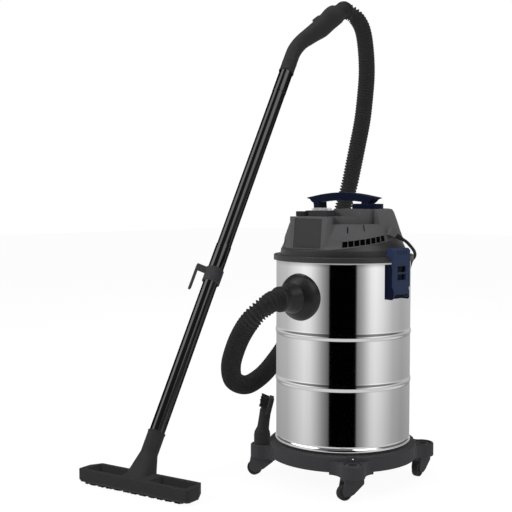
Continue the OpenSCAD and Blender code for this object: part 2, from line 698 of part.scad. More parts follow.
module carry_handle() color(NAVY) {
    top = head_z + handle_h;
    tip_z = top - 12.5;
    bar = 17;
    leg_in = leg_x - leg_t / 2;
    leg_out = leg_x + leg_t / 2;
    difference() {
        union() {
            xz_plate(concat(
                [[-leg_out, deck_z + 4], [-leg_out - 1, head_z + 4], [-leg_out - 2, head_z + 12], [-leg_out - 8, tip_z - 8],
                 [-handle_tip + 10, tip_z - 3], [-handle_tip, tip_z]],
                arch(-handle_tip + 4, tip_z + 1.5, handle_tip - 4, tip_z + 1.5, 11, 16),
                [[handle_tip, tip_z], [handle_tip - 10, tip_z - 3], [leg_out + 8, tip_z - 8],
                 [leg_out + 2, head_z + 12], [leg_out + 1, head_z + 4], [leg_in - 1, head_z + 4]],
                arch(leg_in, top - bar - 4, -leg_in, top - bar - 4, 4, 12),
                [[-leg_in + 1, head_z + 4], [-leg_in + 1, deck_z + 4]]), handle_w);
            for (s = [-1, 1]) translate([s * leg_x, 0, foot_z(s) + 0.05]) intersection() {
                cylinder(r = foot_r, h = foot_h);
                translate([0, 0, foot_h / 2]) cube([80, handle_w + 20, foot_h], center = true);
            }
        }
        for (s = [-1, 1]) translate([s * leg_x, 0, foot_z(s) - 1]) cylinder(r = 2.2, h = 19);
    }
}

module handle_screws() color(STEEL) for (s = [-1, 1]) translate([s * leg_x, 0, 0]) {
    translate([0, 0, foot_z(s) - head_wall - 2.5 - slack]) cylinder(r = 5, h = 2.5);
    translate([0, 0, foot_z(s) - head_wall - 1]) cylinder(r = 2, h = head_wall + 16);
}

module head_screws() color(STEEL) for (a = [45:90:315]) rotate([0, 0, a])
    translate([cover_post_ring, 0, 0]) {
        translate([0, 0, bulk_z - 3 - slack]) cylinder(r = 4.5, h = 3);
        translate([0, 0, bulk_z - 1]) cylinder(r = 2, h = 22);
    }

// ----------------------------------------------------------------- switch

switch_y = -76;
switch_z = deck_z + 10;
rocker_z = switch_z - 1;

module switch_housing() color([0.24, 0.24, 0.25]) difference() {
    union() {
        translate([0, switch_y, deck_z + 0.1]) rounded_slab(56, 32, 13, 5);
        translate([0, switch_y, switch_z - 19]) rounded_slab(29, 19, 20, 1);
    }
    translate([0, switch_y, switch_z - 16]) rounded_slab(23, 14, 30, 0.8);
    translate([0, switch_y, rocker_z]) rotate([0, 90, 0])
        cylinder(r = 1.5 + running, h = 27, center = true);
}

// Rocker on its own pin; at rest its rear half is pressed.
module switch_rocker() color([0.62, 0.1, 0.08]) translate([0, switch_y, rocker_z]) {
    rotate([0, 90, 0]) cylinder(r = 1.5, h = 26, center = true);
    rotate([-8, 0, 0]) yz_plate([[-5.6, -3], [-6, 5], [0, 6], [6, 5], [5.6, -3], [2, -6], [-2, -6]], 22);
}

// Clear ribbed cap over the rocker.
module switch_cap() color([0.8, 0.82, 0.83]) difference() {
    union() {
        translate([0, switch_y, switch_z + 3.1 + 0.1]) rounded_slab(40, 26, 5.2, 3);
        for (i = [-3:3]) translate([i * 5 - 0.6, switch_y - 11, switch_z + 8]) cube([1.2, 22, 1]);
    }
    translate([0, switch_y, switch_z + 3]) rounded_slab(37, 23, 4.2, 2);
}

// Plain cap on the head's front left shoulder.
module terminal_cap() color([0.16, 0.16, 0.17]) translate([-43, -92, deck_z + 0.1])
    rounded_slab(26, 16, 11, 3);

// Slotted screens behind the vent windows.
module vent_screens() color(BLACK) for (s = [0, 1]) mirror([s, 0, 0]) intersection() {
    difference() {
        head_form(head_wall + slack);
        head_form(head_wall + slack + 1.2);
    }
    vent_window(vent_from - 1, vent_to + 1, 0.6, 16, tank_r);
}

// -------------------------------------------------- motor, filter and float

mount_z = bulk_z + bulk_t + slack;
can_z = mount_z + 4;
can_h = 36;
stator_z = can_z + can_h + 3;
stator_h = 32;
shaft_top = stator_z + stator_h + 11;

module motor_mount() color([0.2, 0.2, 0.2]) translate([0, 0, mount_z]) {
    tube(fan_can_r + 6, intake_r, 3.8);
    translate([0, 0, 3.8 - eps]) tube(fan_can_r + 6, fan_can_r + slack, 5);
}

module fan_housing() color([0.75, 0.75, 0.72]) translate([0, 0, can_z]) difference() {
    cylinder(r = fan_can_r, h = can_h);
    translate([0, 0, 2]) cylinder(r = fan_can_r - 2, h = can_h - 6);
    translate([0, 0, -1]) cylinder(r = intake_r - 4, h = 5);
    translate([0, 0, can_h - 6]) cylinder(r = 11 + slack, h = 10);
    for (a = [0:45:315]) rotate([0, 0, a]) translate([fan_can_r - 14, 0, can_h - 6]) cylinder(r = 5, h = 10);
}

module motor_stator() color([0.55, 0.5, 0.42]) {
    translate([0, 0, stator_z]) tube(stator_r, stator_r - 15, stator_h);
    for (a = [0, 180]) rotate([0, 0, a]) {
        translate([stator_r - 12, -6, can_z + can_h + slack]) cube([8, 12, stator_z - can_z - can_h]);
        translate([stator_r - 12, -6, stator_z + stator_h - eps]) cube([8, 12, 7]);
        translate([12, -6, stator_z + stator_h + 6]) cube([stator_r - 16, 12, 3]);
    }
    translate([0, 0, stator_z + stator_h + 2]) tube(14, 11 + slack, 7);
}

module motor_bearings() color(STEEL) for (z = [can_z + can_h - 4, stator_z + stator_h + 2])
    translate([0, 0, z]) tube(11, shaft_r + running, 6);

module motor_rotor() color([0.7, 0.42, 0.25]) {
    translate([0, 0, can_z + 8]) cylinder(r = shaft_r, h = shaft_top - can_z - 8);
    translate([0, 0, stator_z + 3]) cylinder(r = stator_r - 16, h = stator_h - 12);
    translate([0, 0, stator_z + stator_h - 6]) cylinder(r = 12, h = 6);
}

module fan() color([0.8, 0.8, 0.82]) translate([0, 0, can_z + 6]) difference() {
    union() {
        cylinder(r = 9, h = 24);
        for (z = [0, 14]) translate([0, 0, z]) {
            cylinder(r = fan_r, h = 1);
            for (a = [0:45:315]) rotate([0, 0, a]) translate([9, -0.6, 0]) rotate([0, 0, 20])
                cube([fan_r - 14, 1.2, 9]);
        }
    }
    translate([0, 0, -1]) cylinder(r = shaft_r + running, h = 40);
}

cage_r = filter_r - 14;
cage_z = bulk_z - slack - filter_h;

module filter_cage() color(BLACK) difference() {
    union() {
        translate([0, 0, bulk_z - slack - 4]) tube(cage_r, seat_hole_r, 4);
        translate([0, 0, cage_z]) tube(cage_r, stem_guide_r, 3);
        translate([0, 0, cage_z]) tube(stem_guide_r + 3, stem_guide_r, float_travel + 4);
        for (a = [0:45:315]) rotate([0, 0, a]) translate([cage_r - 5, -3, cage_z])
            cube([5 - 0.2, 6, filter_h]);
        for (z = [0.33, 0.66]) translate([0, 0, cage_z + filter_h * z]) tube(cage_r - 0.2, cage_r - 4, 4);
    }
}

module filter_cartridge() color([0.88, 0.87, 0.8]) {
    pleats = 48;
    translate([0, 0, cage_z + 3]) linear_extrude(filter_h - 6) difference() {
        polygon([for (i = [0:2 * pleats - 1])
            (i % 2 == 0 ? filter_r - 1 : filter_r - 6) * [cos(180 * i / pleats), sin(180 * i / pleats)]]);
        circle(r = cage_r + slack + 2);
    }
    translate([0, 0, cage_z + filter_h - 4]) tube(filter_r, cage_r + slack, 4);
    translate([0, 0, cage_z]) tube(filter_r, cage_r + slack, 4);
}

module filter_clamp() color(NAVY) translate([0, 0, cage_z - slack - 4]) {
    tube(filter_r - 2, 26, 4);
    for (a = [0, 90]) rotate([0, 0, a]) translate([0, 0, 2]) difference() {
        cube([2 * 28, 8, 4], center = true);
        cylinder(r = 7, h = 10, center = true);
    }
    translate([0, 0, -7]) tube(12, 7, 11);
}

// Float: a ball on a stem that slides in the cage's floor and shuts the cage's mouth.
seat_hole_r = float_r - 4;
stem_guide_r = 6 + air;
seat_drop = sqrt(float_r * float_r - seat_hole_r * seat_hole_r) + 0.4;
float_z = bulk_z - slack - 4 - seat_drop - float_travel;
module float_ball() color([0.85, 0.5, 0.15]) {
    translate([0, 0, float_z]) difference() {
        sphere(r = float_r);
        sphere(r = float_r - 1.5);
    }
    translate([0, 0, cage_z + 1]) cylinder(r = 6, h = float_z - float_r - cage_z);
}

// --------------------------------------------------------- wand and nozzle

nozzle_at = [-256, -375, 0];
nozzle_turn = 9.55;
// The body sits forward of the wand's pivot.
nozzle_shift = [15, -24, 0];
pivot_z = 33;
cuff_s = 94.2;
cuff_or = tube_r + 2;
joint_s = lower_len;
tube_end_s = lower_len + upper_len;
bend_s = tube_end_s + 90;
grip_turn = 16;
grip_top = 221;
grip_bore = 15;

module at_nozzle() translate(nozzle_at) rotate([0, 0, nozzle_turn]) children();
// Along the wand, from the mouth of the nozzle's cuff.
module at_wand(s) at_nozzle() translate([0, 0, pivot_z]) rotate([-wand_lean, 0, 0])
    translate([0, 0, cuff_s + s]) children();
module at_grip(s) at_wand(bend_s) rotate([0, 0, grip_turn]) rotate([0, grip_bend, 0])
    translate([0, 0, s]) children();

function nozzle_plan(g) = let (w = nozzle_len / 2 - g, d = nozzle_dep / 2 - g)
    [[-w, -d + 5], [-w + 5, -d], [w - 5, -d], [w, -d + 5], [w, 6], [w - 15, d], [-w + 15, d], [-w, 6]];

module nozzle_tray(s) translate([s * (nozzle_len / 2 + 23) / 2, 1, 13]) linear_extrude(40)
    polygon(round_rect(nozzle_len / 2 - 56, nozzle_dep - 21, 4, 2));

module nozzle_body() color(BLACK) at_nozzle() difference() {
    union() {
        translate(nozzle_shift) difference() {
            translate([0, 0, 9.2]) linear_extrude(nozzle_h - 9.2) polygon(nozzle_plan(0));
            nozzle_tray(-1);
            nozzle_tray(1);
        }
        hull() {
            translate([nozzle_shift[0] / 3, nozzle_shift[1] + 1, 12]) linear_extrude(1)
                polygon(round_rect(62, nozzle_dep - 6, 6, 2));
            translate([0, 0, pivot_z]) rotate([-wand_lean, 0, 0]) translate([0, 0, 40])
                cylinder(r = cuff_or, h = 4, $fn = 32);
        }
        translate([0, 0, pivot_z]) rotate([-wand_lean, 0, 0]) translate([0, 0, 30]) {
            cylinder(r = cuff_or, h = cuff_s - 30);
            translate([0, 0, cuff_s - 33]) cylinder(r = cuff_or + 1, h = 3);
        }
    }
    translate([0, 0, pivot_z]) rotate([-wand_lean, 0, 0]) {
        translate([0, 0, cuff_s - 40]) cylinder(r = tube_r + slack, h = 60);
        translate([0, 0, -8]) cylinder(r = tube_r - 2, h = cuff_s);
    }
    translate(nozzle_shift) translate([0, 0, 9]) linear_extrude(9) polygon(round_rect(nozzle_len - 60, 14, 3, 2));
    translate([3, nozzle_shift[1] + 10, 9]) cylinder(r = tube_r - 5, h = 24);
}

module nozzle_sole() color(DARK) at_nozzle() translate(nozzle_shift) translate([0, 0, 6]) difference() {
    linear_extrude(3) polygon(nozzle_plan(2));
    translate([0, 0, -1]) linear_extrude(6) polygon(round_rect(nozzle_len - 60, 14, 3, 2));
}

// Two bristle strips, clipped unevenly into tufts.
module nozzle_brushes() color([0.05, 0.05, 0.05]) at_nozzle() translate(nozzle_shift) for (s = [-1, 1])
    translate([0, s * (nozzle_dep / 2 - 8), 0]) difference() {
        translate([-nozzle_len / 2 + 18, -2, 0]) cube([nozzle_len - 36, 4, 6 - 0.1]);
        for (i = [0:11]) translate([-nozzle_len / 2 + 28 + i * (nozzle_len - 56) / 11, -3, -1])
            cube([5, 6, 3.2]);
    }

module lower_tube() color(BLACK) at_wand(0) difference() {
    union() {
        translate([0, 0, -39]) cylinder(r = tube_r, h = lower_len + 39);
        translate([0, 0, joint_s - socket_len - 5]) cylinder(r = tube_r + 1.1, h = socket_len + 5);
    }
    translate([0, 0, -40]) cylinder(r = tube_r - tube_wall, h = lower_len + 80);
    translate([0, 0, joint_s - socket_len - 3]) cylinder(r = tube_r + 0.1, h = socket_len + 10);
}

module upper_tube() color(BLACK) at_wand(0) difference() {
    union() {
        translate([0, 0, joint_s - socket_len]) cylinder(r = tube_r, h = upper_len + socket_len);
        translate([0, 0, tube_end_s - socket_len - 5]) cylinder(r = tube_r + 1.1, h = socket_len + 5);
    }
    translate([0, 0, joint_s - socket_len - 1]) cylinder(r = tube_r - tube_wall, h = upper_len + 2 * socket_len);
    translate([0, 0, tube_end_s - socket_len - 3]) cylinder(r = tube_r + 0.1, h = socket_len + 10);
}

hook_s = joint_s - 101;
module parking_hook() color(DARK) at_wand(hook_s) difference() {
    union() {
        cylinder(r = tube_r + 4, h = 36 - 0.2);
        rotate([0, 0, 225]) {
            translate([tube_r + 1, -8, 20]) cube([27, 16, 12]);
            translate([tube_r + 22, -8, -32]) cube([6, 16, 64]);
        }
    }
    translate([0, 0, -1]) cylinder(r = tube_r + 0.1, h = 33);
    translate([0, 0, 28]) cylinder(r = tube_r + 1.3, h = 10);
}

slider_s = 98;
module wand_grip() color(BLACK) difference() {
    union() {
        at_wand(tube_end_s - socket_len + 1) cylinder(r = tube_r - 0.1, h = socket_len);
        at_wand(tube_end_s + slack) cylinder(r = tube_r + 1.7, h = bend_s - tube_end_s);
        at_wand(tube_end_s + 34) cylinder(r = tube_r + 2.6, h = 4);
        at_wand(bend_s) sphere(r = tube_r + 2.1);
        at_grip(0) rotate_extrude() polygon([[0, 0], [tube_r + 1.7, 0], [tube_r + 2.5, 30], [tube_r + 6, 70],
            [tube_r + 9.5, 100], [tube_r + 10.5, 120], [tube_r + 9.5, 138], [tube_r + 7, grip_len - 4],
            [0, grip_len - 4]]);
    }
    at_wand(tube_end_s - socket_len) cylinder(r = grip_bore, h = bend_s - tube_end_s + socket_len);
    at_wand(bend_s) sphere(r = grip_bore + 0.4);
    at_grip(0) cylinder(r = grip_bore, h = 120);
    at_grip(grip_len - 36) cylinder(r = hose_d / 2 + 1.5 + slack, h = 60);
    at_grip(slider_s) rotate([0, 0, grip_top]) translate([18, -7, -20]) cube([20, 14, 40]);
}

module suction_slider() color(DARK) at_grip(slider_s) rotate([0, 0, grip_top]) {
    translate([18.3, -7 + air, -19]) cube([9, 14 - 2 * air, 21]);
    for (i = [0:3]) translate([27 - eps, -5, -17 + i * 4.5]) cube([1.2, 10, 2.5]);
}

module hose_cuff_grip() color(BLACK) at_grip(grip_len - 36 + slack)
    tube(hose_d / 2 + 1.5, hose_d / 2 + slack, 40);

// ------------------------------------------------------------------- hose

HOSE = [[0, -212, 417], [0, -220, 417], [0, -230, 417], [1, -247, 412], [-8, -268, 397], [-26, -279, 374],
        [-55, -274, 343], [-89, -258, 306], [-127, -231, 264], [-164, -185, 222], [-194, -113, 197],
        [-210, -59, 200], [-220, -12, 215], [-229, 60, 262], [-230, 89, 290], [-228, 125, 333],
        [-223, 164, 395], [-215, 199, 463], [-208, 228, 527], [-200, 279, 659], [-201, 294, 699],
        [-205, 320, 764], [-211, 348, 831], [-221, 373, 899], [-231, 392, 953], [-245, 408, 1009],
        [-263, 420, 1068], [-275, 422, 1094], [-290, 419, 1115], [-300, 410, 1126], [-306, 398, 1131],
        [-297, 377, 1131], [-290, 361, 1126], [-293, 356, 1121], [-296, 352, 1118]];

module hose() color([0.12, 0.12, 0.13]) swept_tube(HOSE, hose_d / 2, 12, [0, 0, 1]);

// ------------------------------------------------------------- power cord

CORD = [for (p = [[-1, -4, 2], [0, 0, 0], [4, 16, -8], [7, 33, -16], [3, 62, -31], [-15, 101, -45],
                  [-29, 121, -55], [-49, 139, -67]]) exit_pt + p,
        [56, 171, 444], [34, 191, 400], [15, 206, 348], [-4, 219, 288],
        [-23, 230, 219], [-39, 236, 149], [-52, 239, 94], [-63, 241, 50], [-73, 242, 23],
        [-91, 243, 7], [-113, 243, 4], [-131, 243, 4]];
coil_at = [-160, 303, 0];
coil_mid_r = 46;
coil_wide = 5;
coil_high = 3;

module power_cord() color(BLACK) swept_tube(concat(through(CORD), [CORD[len(CORD) - 1]]),
    cord_d / 2, 8, [0, 0, 1]);

module cord_coil() color(BLACK) translate(coil_at) rotate_extrude()
    translate([coil_mid_r - coil_wide * cord_d / 2, 0])
        polygon([[1.5, 0], [coil_wide * cord_d - 1.5, 0], [coil_wide * cord_d, 1.5],
                 [coil_wide * cord_d, coil_high * cord_d - 1.5], [coil_wide * cord_d - 1.5, coil_high * cord_d],
                 [1.5, coil_high * cord_d], [0, coil_high * cord_d - 1.5], [0, 1.5]]);

module cord_tie() color([0.2, 0.2, 0.21]) translate(coil_at) rotate([0, 0, 30])
    translate([coil_mid_r, 0, coil_high * cord_d / 2]) {
        w = coil_wide * cord_d + 1;
        h = coil_high * cord_d + 1;
        difference() {
            translate([0, 0, 0.5]) cube([w + 3, 8, h + 1], center = true);
            translate([0, 0, -0.5]) cube([w, 9, h + 1], center = true);
        }
        translate([w / 2 + 4, 0, 3]) cube([8, 8, 2], center = true);
    }

plug_r = 18;
plug_at = coil_at + [cord_d / 2 - coil_mid_r - coil_wide * cord_d / 2, 0, plug_r];
plug_boot_y = 32.3;
pin_gap = 19;
module plug() color(BLACK) translate(plug_at) rotate([-90, 0, 0]) {
    translate([0, 0, plug_boot_y]) cylinder(r1 = cord_d / 2 + 1, r2 = 7, h = 14);
    translate([0, 0, plug_boot_y + 14]) cylinder(r1 = 9, r2 = plug_r, h = 12);
    translate([0, 0, plug_boot_y + 26]) cylinder(r = plug_r, h = 18);
    color(STEEL) for (s = [-1, 1]) translate([s * pin_gap / 2, 0, plug_boot_y + 43]) {
        cylinder(r = 2.4, h = 19);
        translate([0, 0, 19]) cylinder(r1 = 2.4, r2 = 1.4, h = 1);
    }
}

// ------------------------------------------------------------- brush tool

module brush_tool() color(BLACK) rotate([0, 0, -135]) translate([lobe_d, 0, lobe_top - recess_dep + air])
    rotate([0, 0, 135 + 43]) difference() {
        union() {
            cylinder(r = recess_r - 3, h = 36);
            translate([0, 0, 36]) cylinder(r1 = recess_r - 3, r2 = 11, h = 18);
            translate([0, 0, 54]) cylinder(r1 = 11, r2 = 10, h = 30);
            translate([0, 0, 84]) rotate([0, 14, 0]) {
                translate([-12, -19, 0]) cube([22, 38, 12]);
                translate([2, -22, 0]) cube([9, 44, 34]);
                translate([-17, -19, 10]) cube([19, 38, 22]);
            }
        }
        translate([0, 0, -1]) cylinder(r = post_r + air, h = 32);
        translate([0, 0, 30]) cylinder(r1 = post_r, r2 = 7, h = 24);
        translate([0, 0, 53]) cylinder(r = 7, h = 34);
    }

// ------------------------------------------------------------------ nodes

dolly();
dolly_screws();
caster(0);  // caster_front_right
caster(1);  // caster_rear_right
caster(2);  // caster_rear_left
caster(3);  // caster_front_left
wheel(0);  // wheel_front_right
wheel(1);  // wheel_rear_right
wheel(2);  // wheel_rear_left
wheel(3);  // wheel_front_left
tank_shell();
tank_floor();
inlet_flange();
inlet_nut();
inlet_deflector();
hose_cuff_tank();
hose();
hose_cuff_grip();
bracket(1);  // latch_bracket_right
bracket(-1);  // latch_bracket_left
lever(1);  // latch_lever_right
lever(-1);  // latch_lever_left
latch_pins();
latch_rivets();
lid();
lid_seal();
motor_cover();
front_panel();
carry_handle();
handle_screws();
head_screws();
switch_housing();
switch_rocker();
switch_cap();
terminal_cap();
vent_screens();
cord_gland();
power_cord();
cord_coil();
cord_tie();
plug();
motor_mount();
fan_housing();
motor_stator();
motor_bearings();
motor_rotor();
fan();
filter_cage();
filter_cartridge();
filter_clamp();
float_ball();
nozzle_body();
nozzle_sole();
nozzle_brushes();
lower_tube();
upper_tube();
parking_hook();
wand_grip();
suction_slider();
brush_tool();
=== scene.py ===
"""Looks of a wet and dry drum vacuum with its wand, hose and tools.

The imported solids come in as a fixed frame. Each sub-assembly is a class that
holds its sizes in millimetres, builds its surfaces with numpy and gives them
finishes. Millimetres are turned into metres once, when a mesh is made.
"""

import json
import logging
import math
from dataclasses import dataclass
from enum import Enum
from typing import Any, Dict, List, Optional, Sequence, Tuple, Union

import bmesh
import bpy
import numpy as np
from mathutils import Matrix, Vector

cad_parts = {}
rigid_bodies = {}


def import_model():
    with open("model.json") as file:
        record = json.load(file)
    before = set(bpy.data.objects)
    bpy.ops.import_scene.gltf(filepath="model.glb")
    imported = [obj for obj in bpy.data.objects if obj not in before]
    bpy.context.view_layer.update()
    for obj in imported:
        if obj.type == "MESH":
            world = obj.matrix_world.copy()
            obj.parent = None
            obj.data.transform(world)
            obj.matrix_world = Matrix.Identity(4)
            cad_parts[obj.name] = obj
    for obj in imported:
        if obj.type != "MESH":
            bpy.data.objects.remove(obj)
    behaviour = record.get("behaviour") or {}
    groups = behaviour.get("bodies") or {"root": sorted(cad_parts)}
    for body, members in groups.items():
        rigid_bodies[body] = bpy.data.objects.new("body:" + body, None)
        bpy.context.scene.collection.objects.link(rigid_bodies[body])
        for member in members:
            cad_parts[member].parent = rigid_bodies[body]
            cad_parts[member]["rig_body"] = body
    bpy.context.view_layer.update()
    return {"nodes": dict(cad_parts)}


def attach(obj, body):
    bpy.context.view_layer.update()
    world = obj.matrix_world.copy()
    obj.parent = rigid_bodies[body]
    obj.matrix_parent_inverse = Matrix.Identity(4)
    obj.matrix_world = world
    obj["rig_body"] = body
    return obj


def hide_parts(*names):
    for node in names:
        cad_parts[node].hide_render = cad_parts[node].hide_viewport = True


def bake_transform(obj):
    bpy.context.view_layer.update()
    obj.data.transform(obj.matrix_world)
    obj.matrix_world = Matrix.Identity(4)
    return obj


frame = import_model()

LOG = logging.getLogger("drum_vacuum")
MM = 0.001
TAU = 2.0 * math.pi
Colour = Tuple[float, float, float]
Array = np.ndarray


class Body(str, Enum):
    """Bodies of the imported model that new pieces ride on."""

    BASE = "base"
    HEAD = "head"
    BRUSH = "brush"


# ------------------------------------------------------------------- placing


def turn(axis: str, degrees: float) -> Array:
    """4x4 turn about a coordinate axis.

    Args:
        axis: "x", "y" or "z".
        degrees: angle, anticlockwise seen from the axis's tip.

    Returns:
        The matrix.
    """
    c, s = math.cos(math.radians(degrees)), math.sin(math.radians(degrees))
    i, j = {"x": (1, 2), "y": (2, 0), "z": (0, 1)}[axis]
    out = np.eye(4)
    out[i, i], out[j, j], out[i, j], out[j, i] = c, c, -s, s
    return out


def shift(x: float, y: float, z: float) -> Array:
    """4x4 translation in millimetres."""
    out = np.eye(4)
    out[:3, 3] = (x, y, z)
    return out


def place(matrix: Array, points: Array) -> Array:
    """Applies a 4x4 placement to an array of points of any shape (..., 3)."""
    return points @ matrix[:3, :3].T + matrix[:3, 3]


class Placement:
    """Frames along the wand, in millimetres."""

    nozzle = shift(-256.0, -375.0, 0.0) @ turn("z", 9.55)
    wand_root = nozzle @ shift(0.0, 0.0, 33.0) @ turn("x", -32.7)
    bend_s = 1088.0

    @classmethod
    def wand(cls, s: float) -> Array:
        """Frame on the wand, s mm beyond the mouth of the nozzle's cuff."""
        return cls.wand_root @ shift(0.0, 0.0, 94.2 + s)

    @classmethod
    def grip(cls, s: float) -> Array:
        """Frame on the grip's axis, s mm beyond the bend."""
        return cls.wand(cls.bend_s) @ turn("z", 16.0) @ turn("y", 34.8) @ shift(0.0, 0.0, s)


# ------------------------------------------------------------------- meshes


def add_mesh(name: str, points: Array, faces: Sequence[Sequence[int]], smooth: bool = True) -> bpy.types.Object:
    """Makes an object from points in millimetres and lists of corner numbers.

    Args:
        name: name of the piece.
        points: array (n, 3).
        faces: corner numbers of each face.
        smooth: shade the faces smooth.

    Returns:
        The new object, linked to the scene.
    """
    mesh = bpy.data.meshes.new(name)
    mesh.from_pydata((np.asarray(points, float) * MM).tolist(), [], [list(f) for f in faces])
    mesh.validate()
    if smooth:
        mesh.polygons.foreach_set("use_smooth", np.ones(len(mesh.polygons), bool))
    mesh.update()
    piece = bpy.data.objects.new(name, mesh)
    bpy.context.scene.collection.objects.link(piece)
    return piece


def grid_faces(rows: int, columns: int) -> Array:
    """Quads of a grid of points, rows by columns, whose last column joins the first."""
    r = np.arange(rows - 1)[:, None]
    c = np.arange(columns)[None, :]
    n = (c + 1) % columns
    quads = np.stack([r * columns + c, r * columns + n, (r + 1) * columns + n, (r + 1) * columns + c], axis=-1)
    return quads.reshape(-1, 4)


def grid_piece(name: str, grid: Array, caps: Tuple[bool, bool] = (False, False),
               loop: bool = False, smooth: bool = True) -> bpy.types.Object:
    """A surface from an array of points (rows, columns, 3), closed round its rows.

    Args:
        name: name of the piece.
        grid: the points in millimetres.
        caps: close the first and the last row with a face.
        loop: join the last row to the first.
        smooth: shade smooth.

    Returns:
        The new object.
    """
    rows, columns = grid.shape[:2]
    source = np.concatenate([grid, grid[:1]]) if loop else grid
    faces = grid_faces(source.shape[0], columns)
    if loop:
        faces = faces % (rows * columns)
    listed: List[Sequence[int]] = faces.tolist()
    if caps[0]:
        listed.append(list(range(columns))[::-1])
    if caps[1]:
        listed.append(list(range((rows - 1) * columns, rows * columns)))
    return add_mesh(name, grid.reshape(-1, 3), listed, smooth)


def lathe_grid(profile: Sequence[Tuple[float, float]], steps: int) -> Array:
    """Points (r cos t, r sin t, z) for each (r, z) of a profile and each turn t."""
    p = np.asarray(profile, float)
    t = np.linspace(0.0, TAU, steps, endpoint=False)
    return np.stack([p[:, :1] * np.cos(t), p[:, :1] * np.sin(t), np.repeat(p[:, 1:], steps, axis=1)], axis=-1)


def rounded_path(points: Sequence[Tuple[float, float]], radius: float, steps: int = 4, closed: bool = True) -> Array:
    """Outline whose corners are replaced by short quadratic curves.

    Each corner b between a and c becomes the curve (1-u)^2 p + 2u(1-u) b + u^2 q
    whose ends p and q lie up to the radius from b on the two edges.

    Args:
        points: corners.
        radius: reach of a rounding along its edges.
        steps: pieces of each curve.
        closed: the outline returns to its start.

    Returns:
        Array (n, 2).
    """
    b = np.asarray(points, float)
    a, c = np.roll(b, 1, axis=0), np.roll(b, -1, axis=0)
    la, lc = np.linalg.norm(a - b, axis=1), np.linalg.norm(c - b, axis=1)
    reach = np.minimum(radius, 0.49 * np.minimum(la, lc))[:, None]
    p, q = b + (a - b) / la[:, None] * reach, b + (c - b) / lc[:, None] * reach
    u = np.linspace(0.0, 1.0, steps + 1)[None, :, None]
    curve = (1 - u) ** 2 * p[:, None] + 2 * u * (1 - u) * b[:, None] + u ** 2 * q[:, None]
    if not closed:
        curve[0], curve[-1] = b[0], b[-1]
    return curve.reshape(-1, 2)


def lathe_piece(name: str, profile: Sequence[Tuple[float, float]], matrix: Array = np.eye(4), steps: int = 96,
                radius: float = 0.0, closed: bool = True) -> bpy.types.Object:
    """A turned piece: the profile's (r, z) run once round the local Z axis.

    Args:
        name: name of the piece.
        profile: corners (r, z), anticlockwise for outward faces.
        matrix: placement.
        steps: points round the axis.
        radius: rounding of the profile's corners.
        closed: the profile is a closed outline.

    Returns:
        The new object.
    """
    outline = rounded_path(profile, radius, closed=closed) if radius > 0 else np.asarray(profile, float)
    grid = place(matrix, lathe_grid(outline, steps))
    return grid_piece(name, grid, loop=closed)


def prism_piece(name: str, outline: Sequence[Tuple[float, float]], low: float, high: float,
                matrix: Array = np.eye(4)) -> bpy.types.Object:
    """A plate: an outline in the local XY plane between two heights.

    Args:
        name: name of the piece.
        outline: corners, anticlockwise.
        low: height of the lower face.
        high: height of the upper face.
        matrix: placement.

    Returns:
        The new object.
    """
    o = np.asarray(outline, float)
    n = len(o)
    ring = np.stack([np.c_[o, np.full(n, low)], np.c_[o, np.full(n, high)]])
    return grid_piece(name, place(matrix, ring), caps=(True, True), smooth=False)


def soften_edges(piece: bpy.types.Object, width: float, segments: int, angle: float) -> None:
    """Rounds the sharp edges of a piece.

    Args:
        piece: the object.
        width: width of the rounding in millimetres.
        segments: its steps.
        angle: edges that bend more than this are rounded.
    """
    bevel = piece.modifiers.new("edges", "BEVEL")
    bevel.width = width * MM
    bevel.segments = segments
    bevel.limit_method = "ANGLE"
    bevel.angle_limit = math.radians(angle)
    piece.data.polygons.foreach_set("use_smooth", np.ones(len(piece.data.polygons), bool))
    piece.data.update()
    keep = piece.modifiers.new("shading", "WEIGHTED_NORMAL")
    keep.keep_sharp = True


def moulded_copy(node: str, width: float, segments: int, angle: float) -> bpy.types.Object:
    """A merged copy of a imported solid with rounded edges, which stands for it.

    Args:
        node: name of the solid.
        width: width of the rounded edges in millimetres.
        segments: steps of the rounding.
        angle: edges that bend more than this are rounded.

    Returns:
        The copy.
    """
    source = frame["nodes"][node]
    mesh = source.data.copy()
    shape = bmesh.new()
    shape.from_mesh(mesh)
    bmesh.ops.remove_doubles(shape, verts=shape.verts, dist=1e-5)
    bmesh.ops.dissolve_limit(shape, angle_limit=math.radians(1.0), verts=shape.verts, edges=shape.edges)
    bmesh.ops.dissolve_degenerate(shape, dist=2e-5, edges=shape.edges)
    shape.to_mesh(mesh)
    shape.free()
    mesh.name = "soft_" + node
    piece = bpy.data.objects.new("soft_" + node, mesh)
    bpy.context.scene.collection.objects.link(piece)
    mesh.polygons.foreach_set("use_smooth", np.ones(len(mesh.polygons), bool))
    soften_edges(piece, width, segments, angle)
    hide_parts(node)
    return piece


def cut_out(piece: bpy.types.Object, cutter: bpy.types.Object) -> None:
    """Takes one closed piece out of another."""
    cut = piece.modifiers.new("cut", "BOOLEAN")
    cut.object = cutter
    cut.operation = "DIFFERENCE"
    cut.solver = "EXACT"


def joined(name: str, pieces: Sequence[bpy.types.Object]) -> bpy.types.Object:
    """Joins pieces into one object, their modifiers applied first."""
    graph = bpy.context.evaluated_depsgraph_get()
    shape = bmesh.new()
    for piece in pieces:
        final = piece.evaluated_get(graph).to_mesh()
        shape.from_mesh(final)
        piece.evaluated_get(graph).to_mesh_clear()
    bmesh.ops.remove_doubles(shape, verts=shape.verts, dist=1e-6)
    mesh = bpy.data.meshes.new(name)
    shape.to_mesh(mesh)
    shape.free()
    for piece in pieces:
        bpy.data.objects.remove(piece)
    mesh.polygons.foreach_set("use_smooth", np.ones(len(mesh.polygons), bool))
    out = bpy.data.objects.new(name, mesh)
    bpy.context.scene.collection.objects.link(out)
    return out


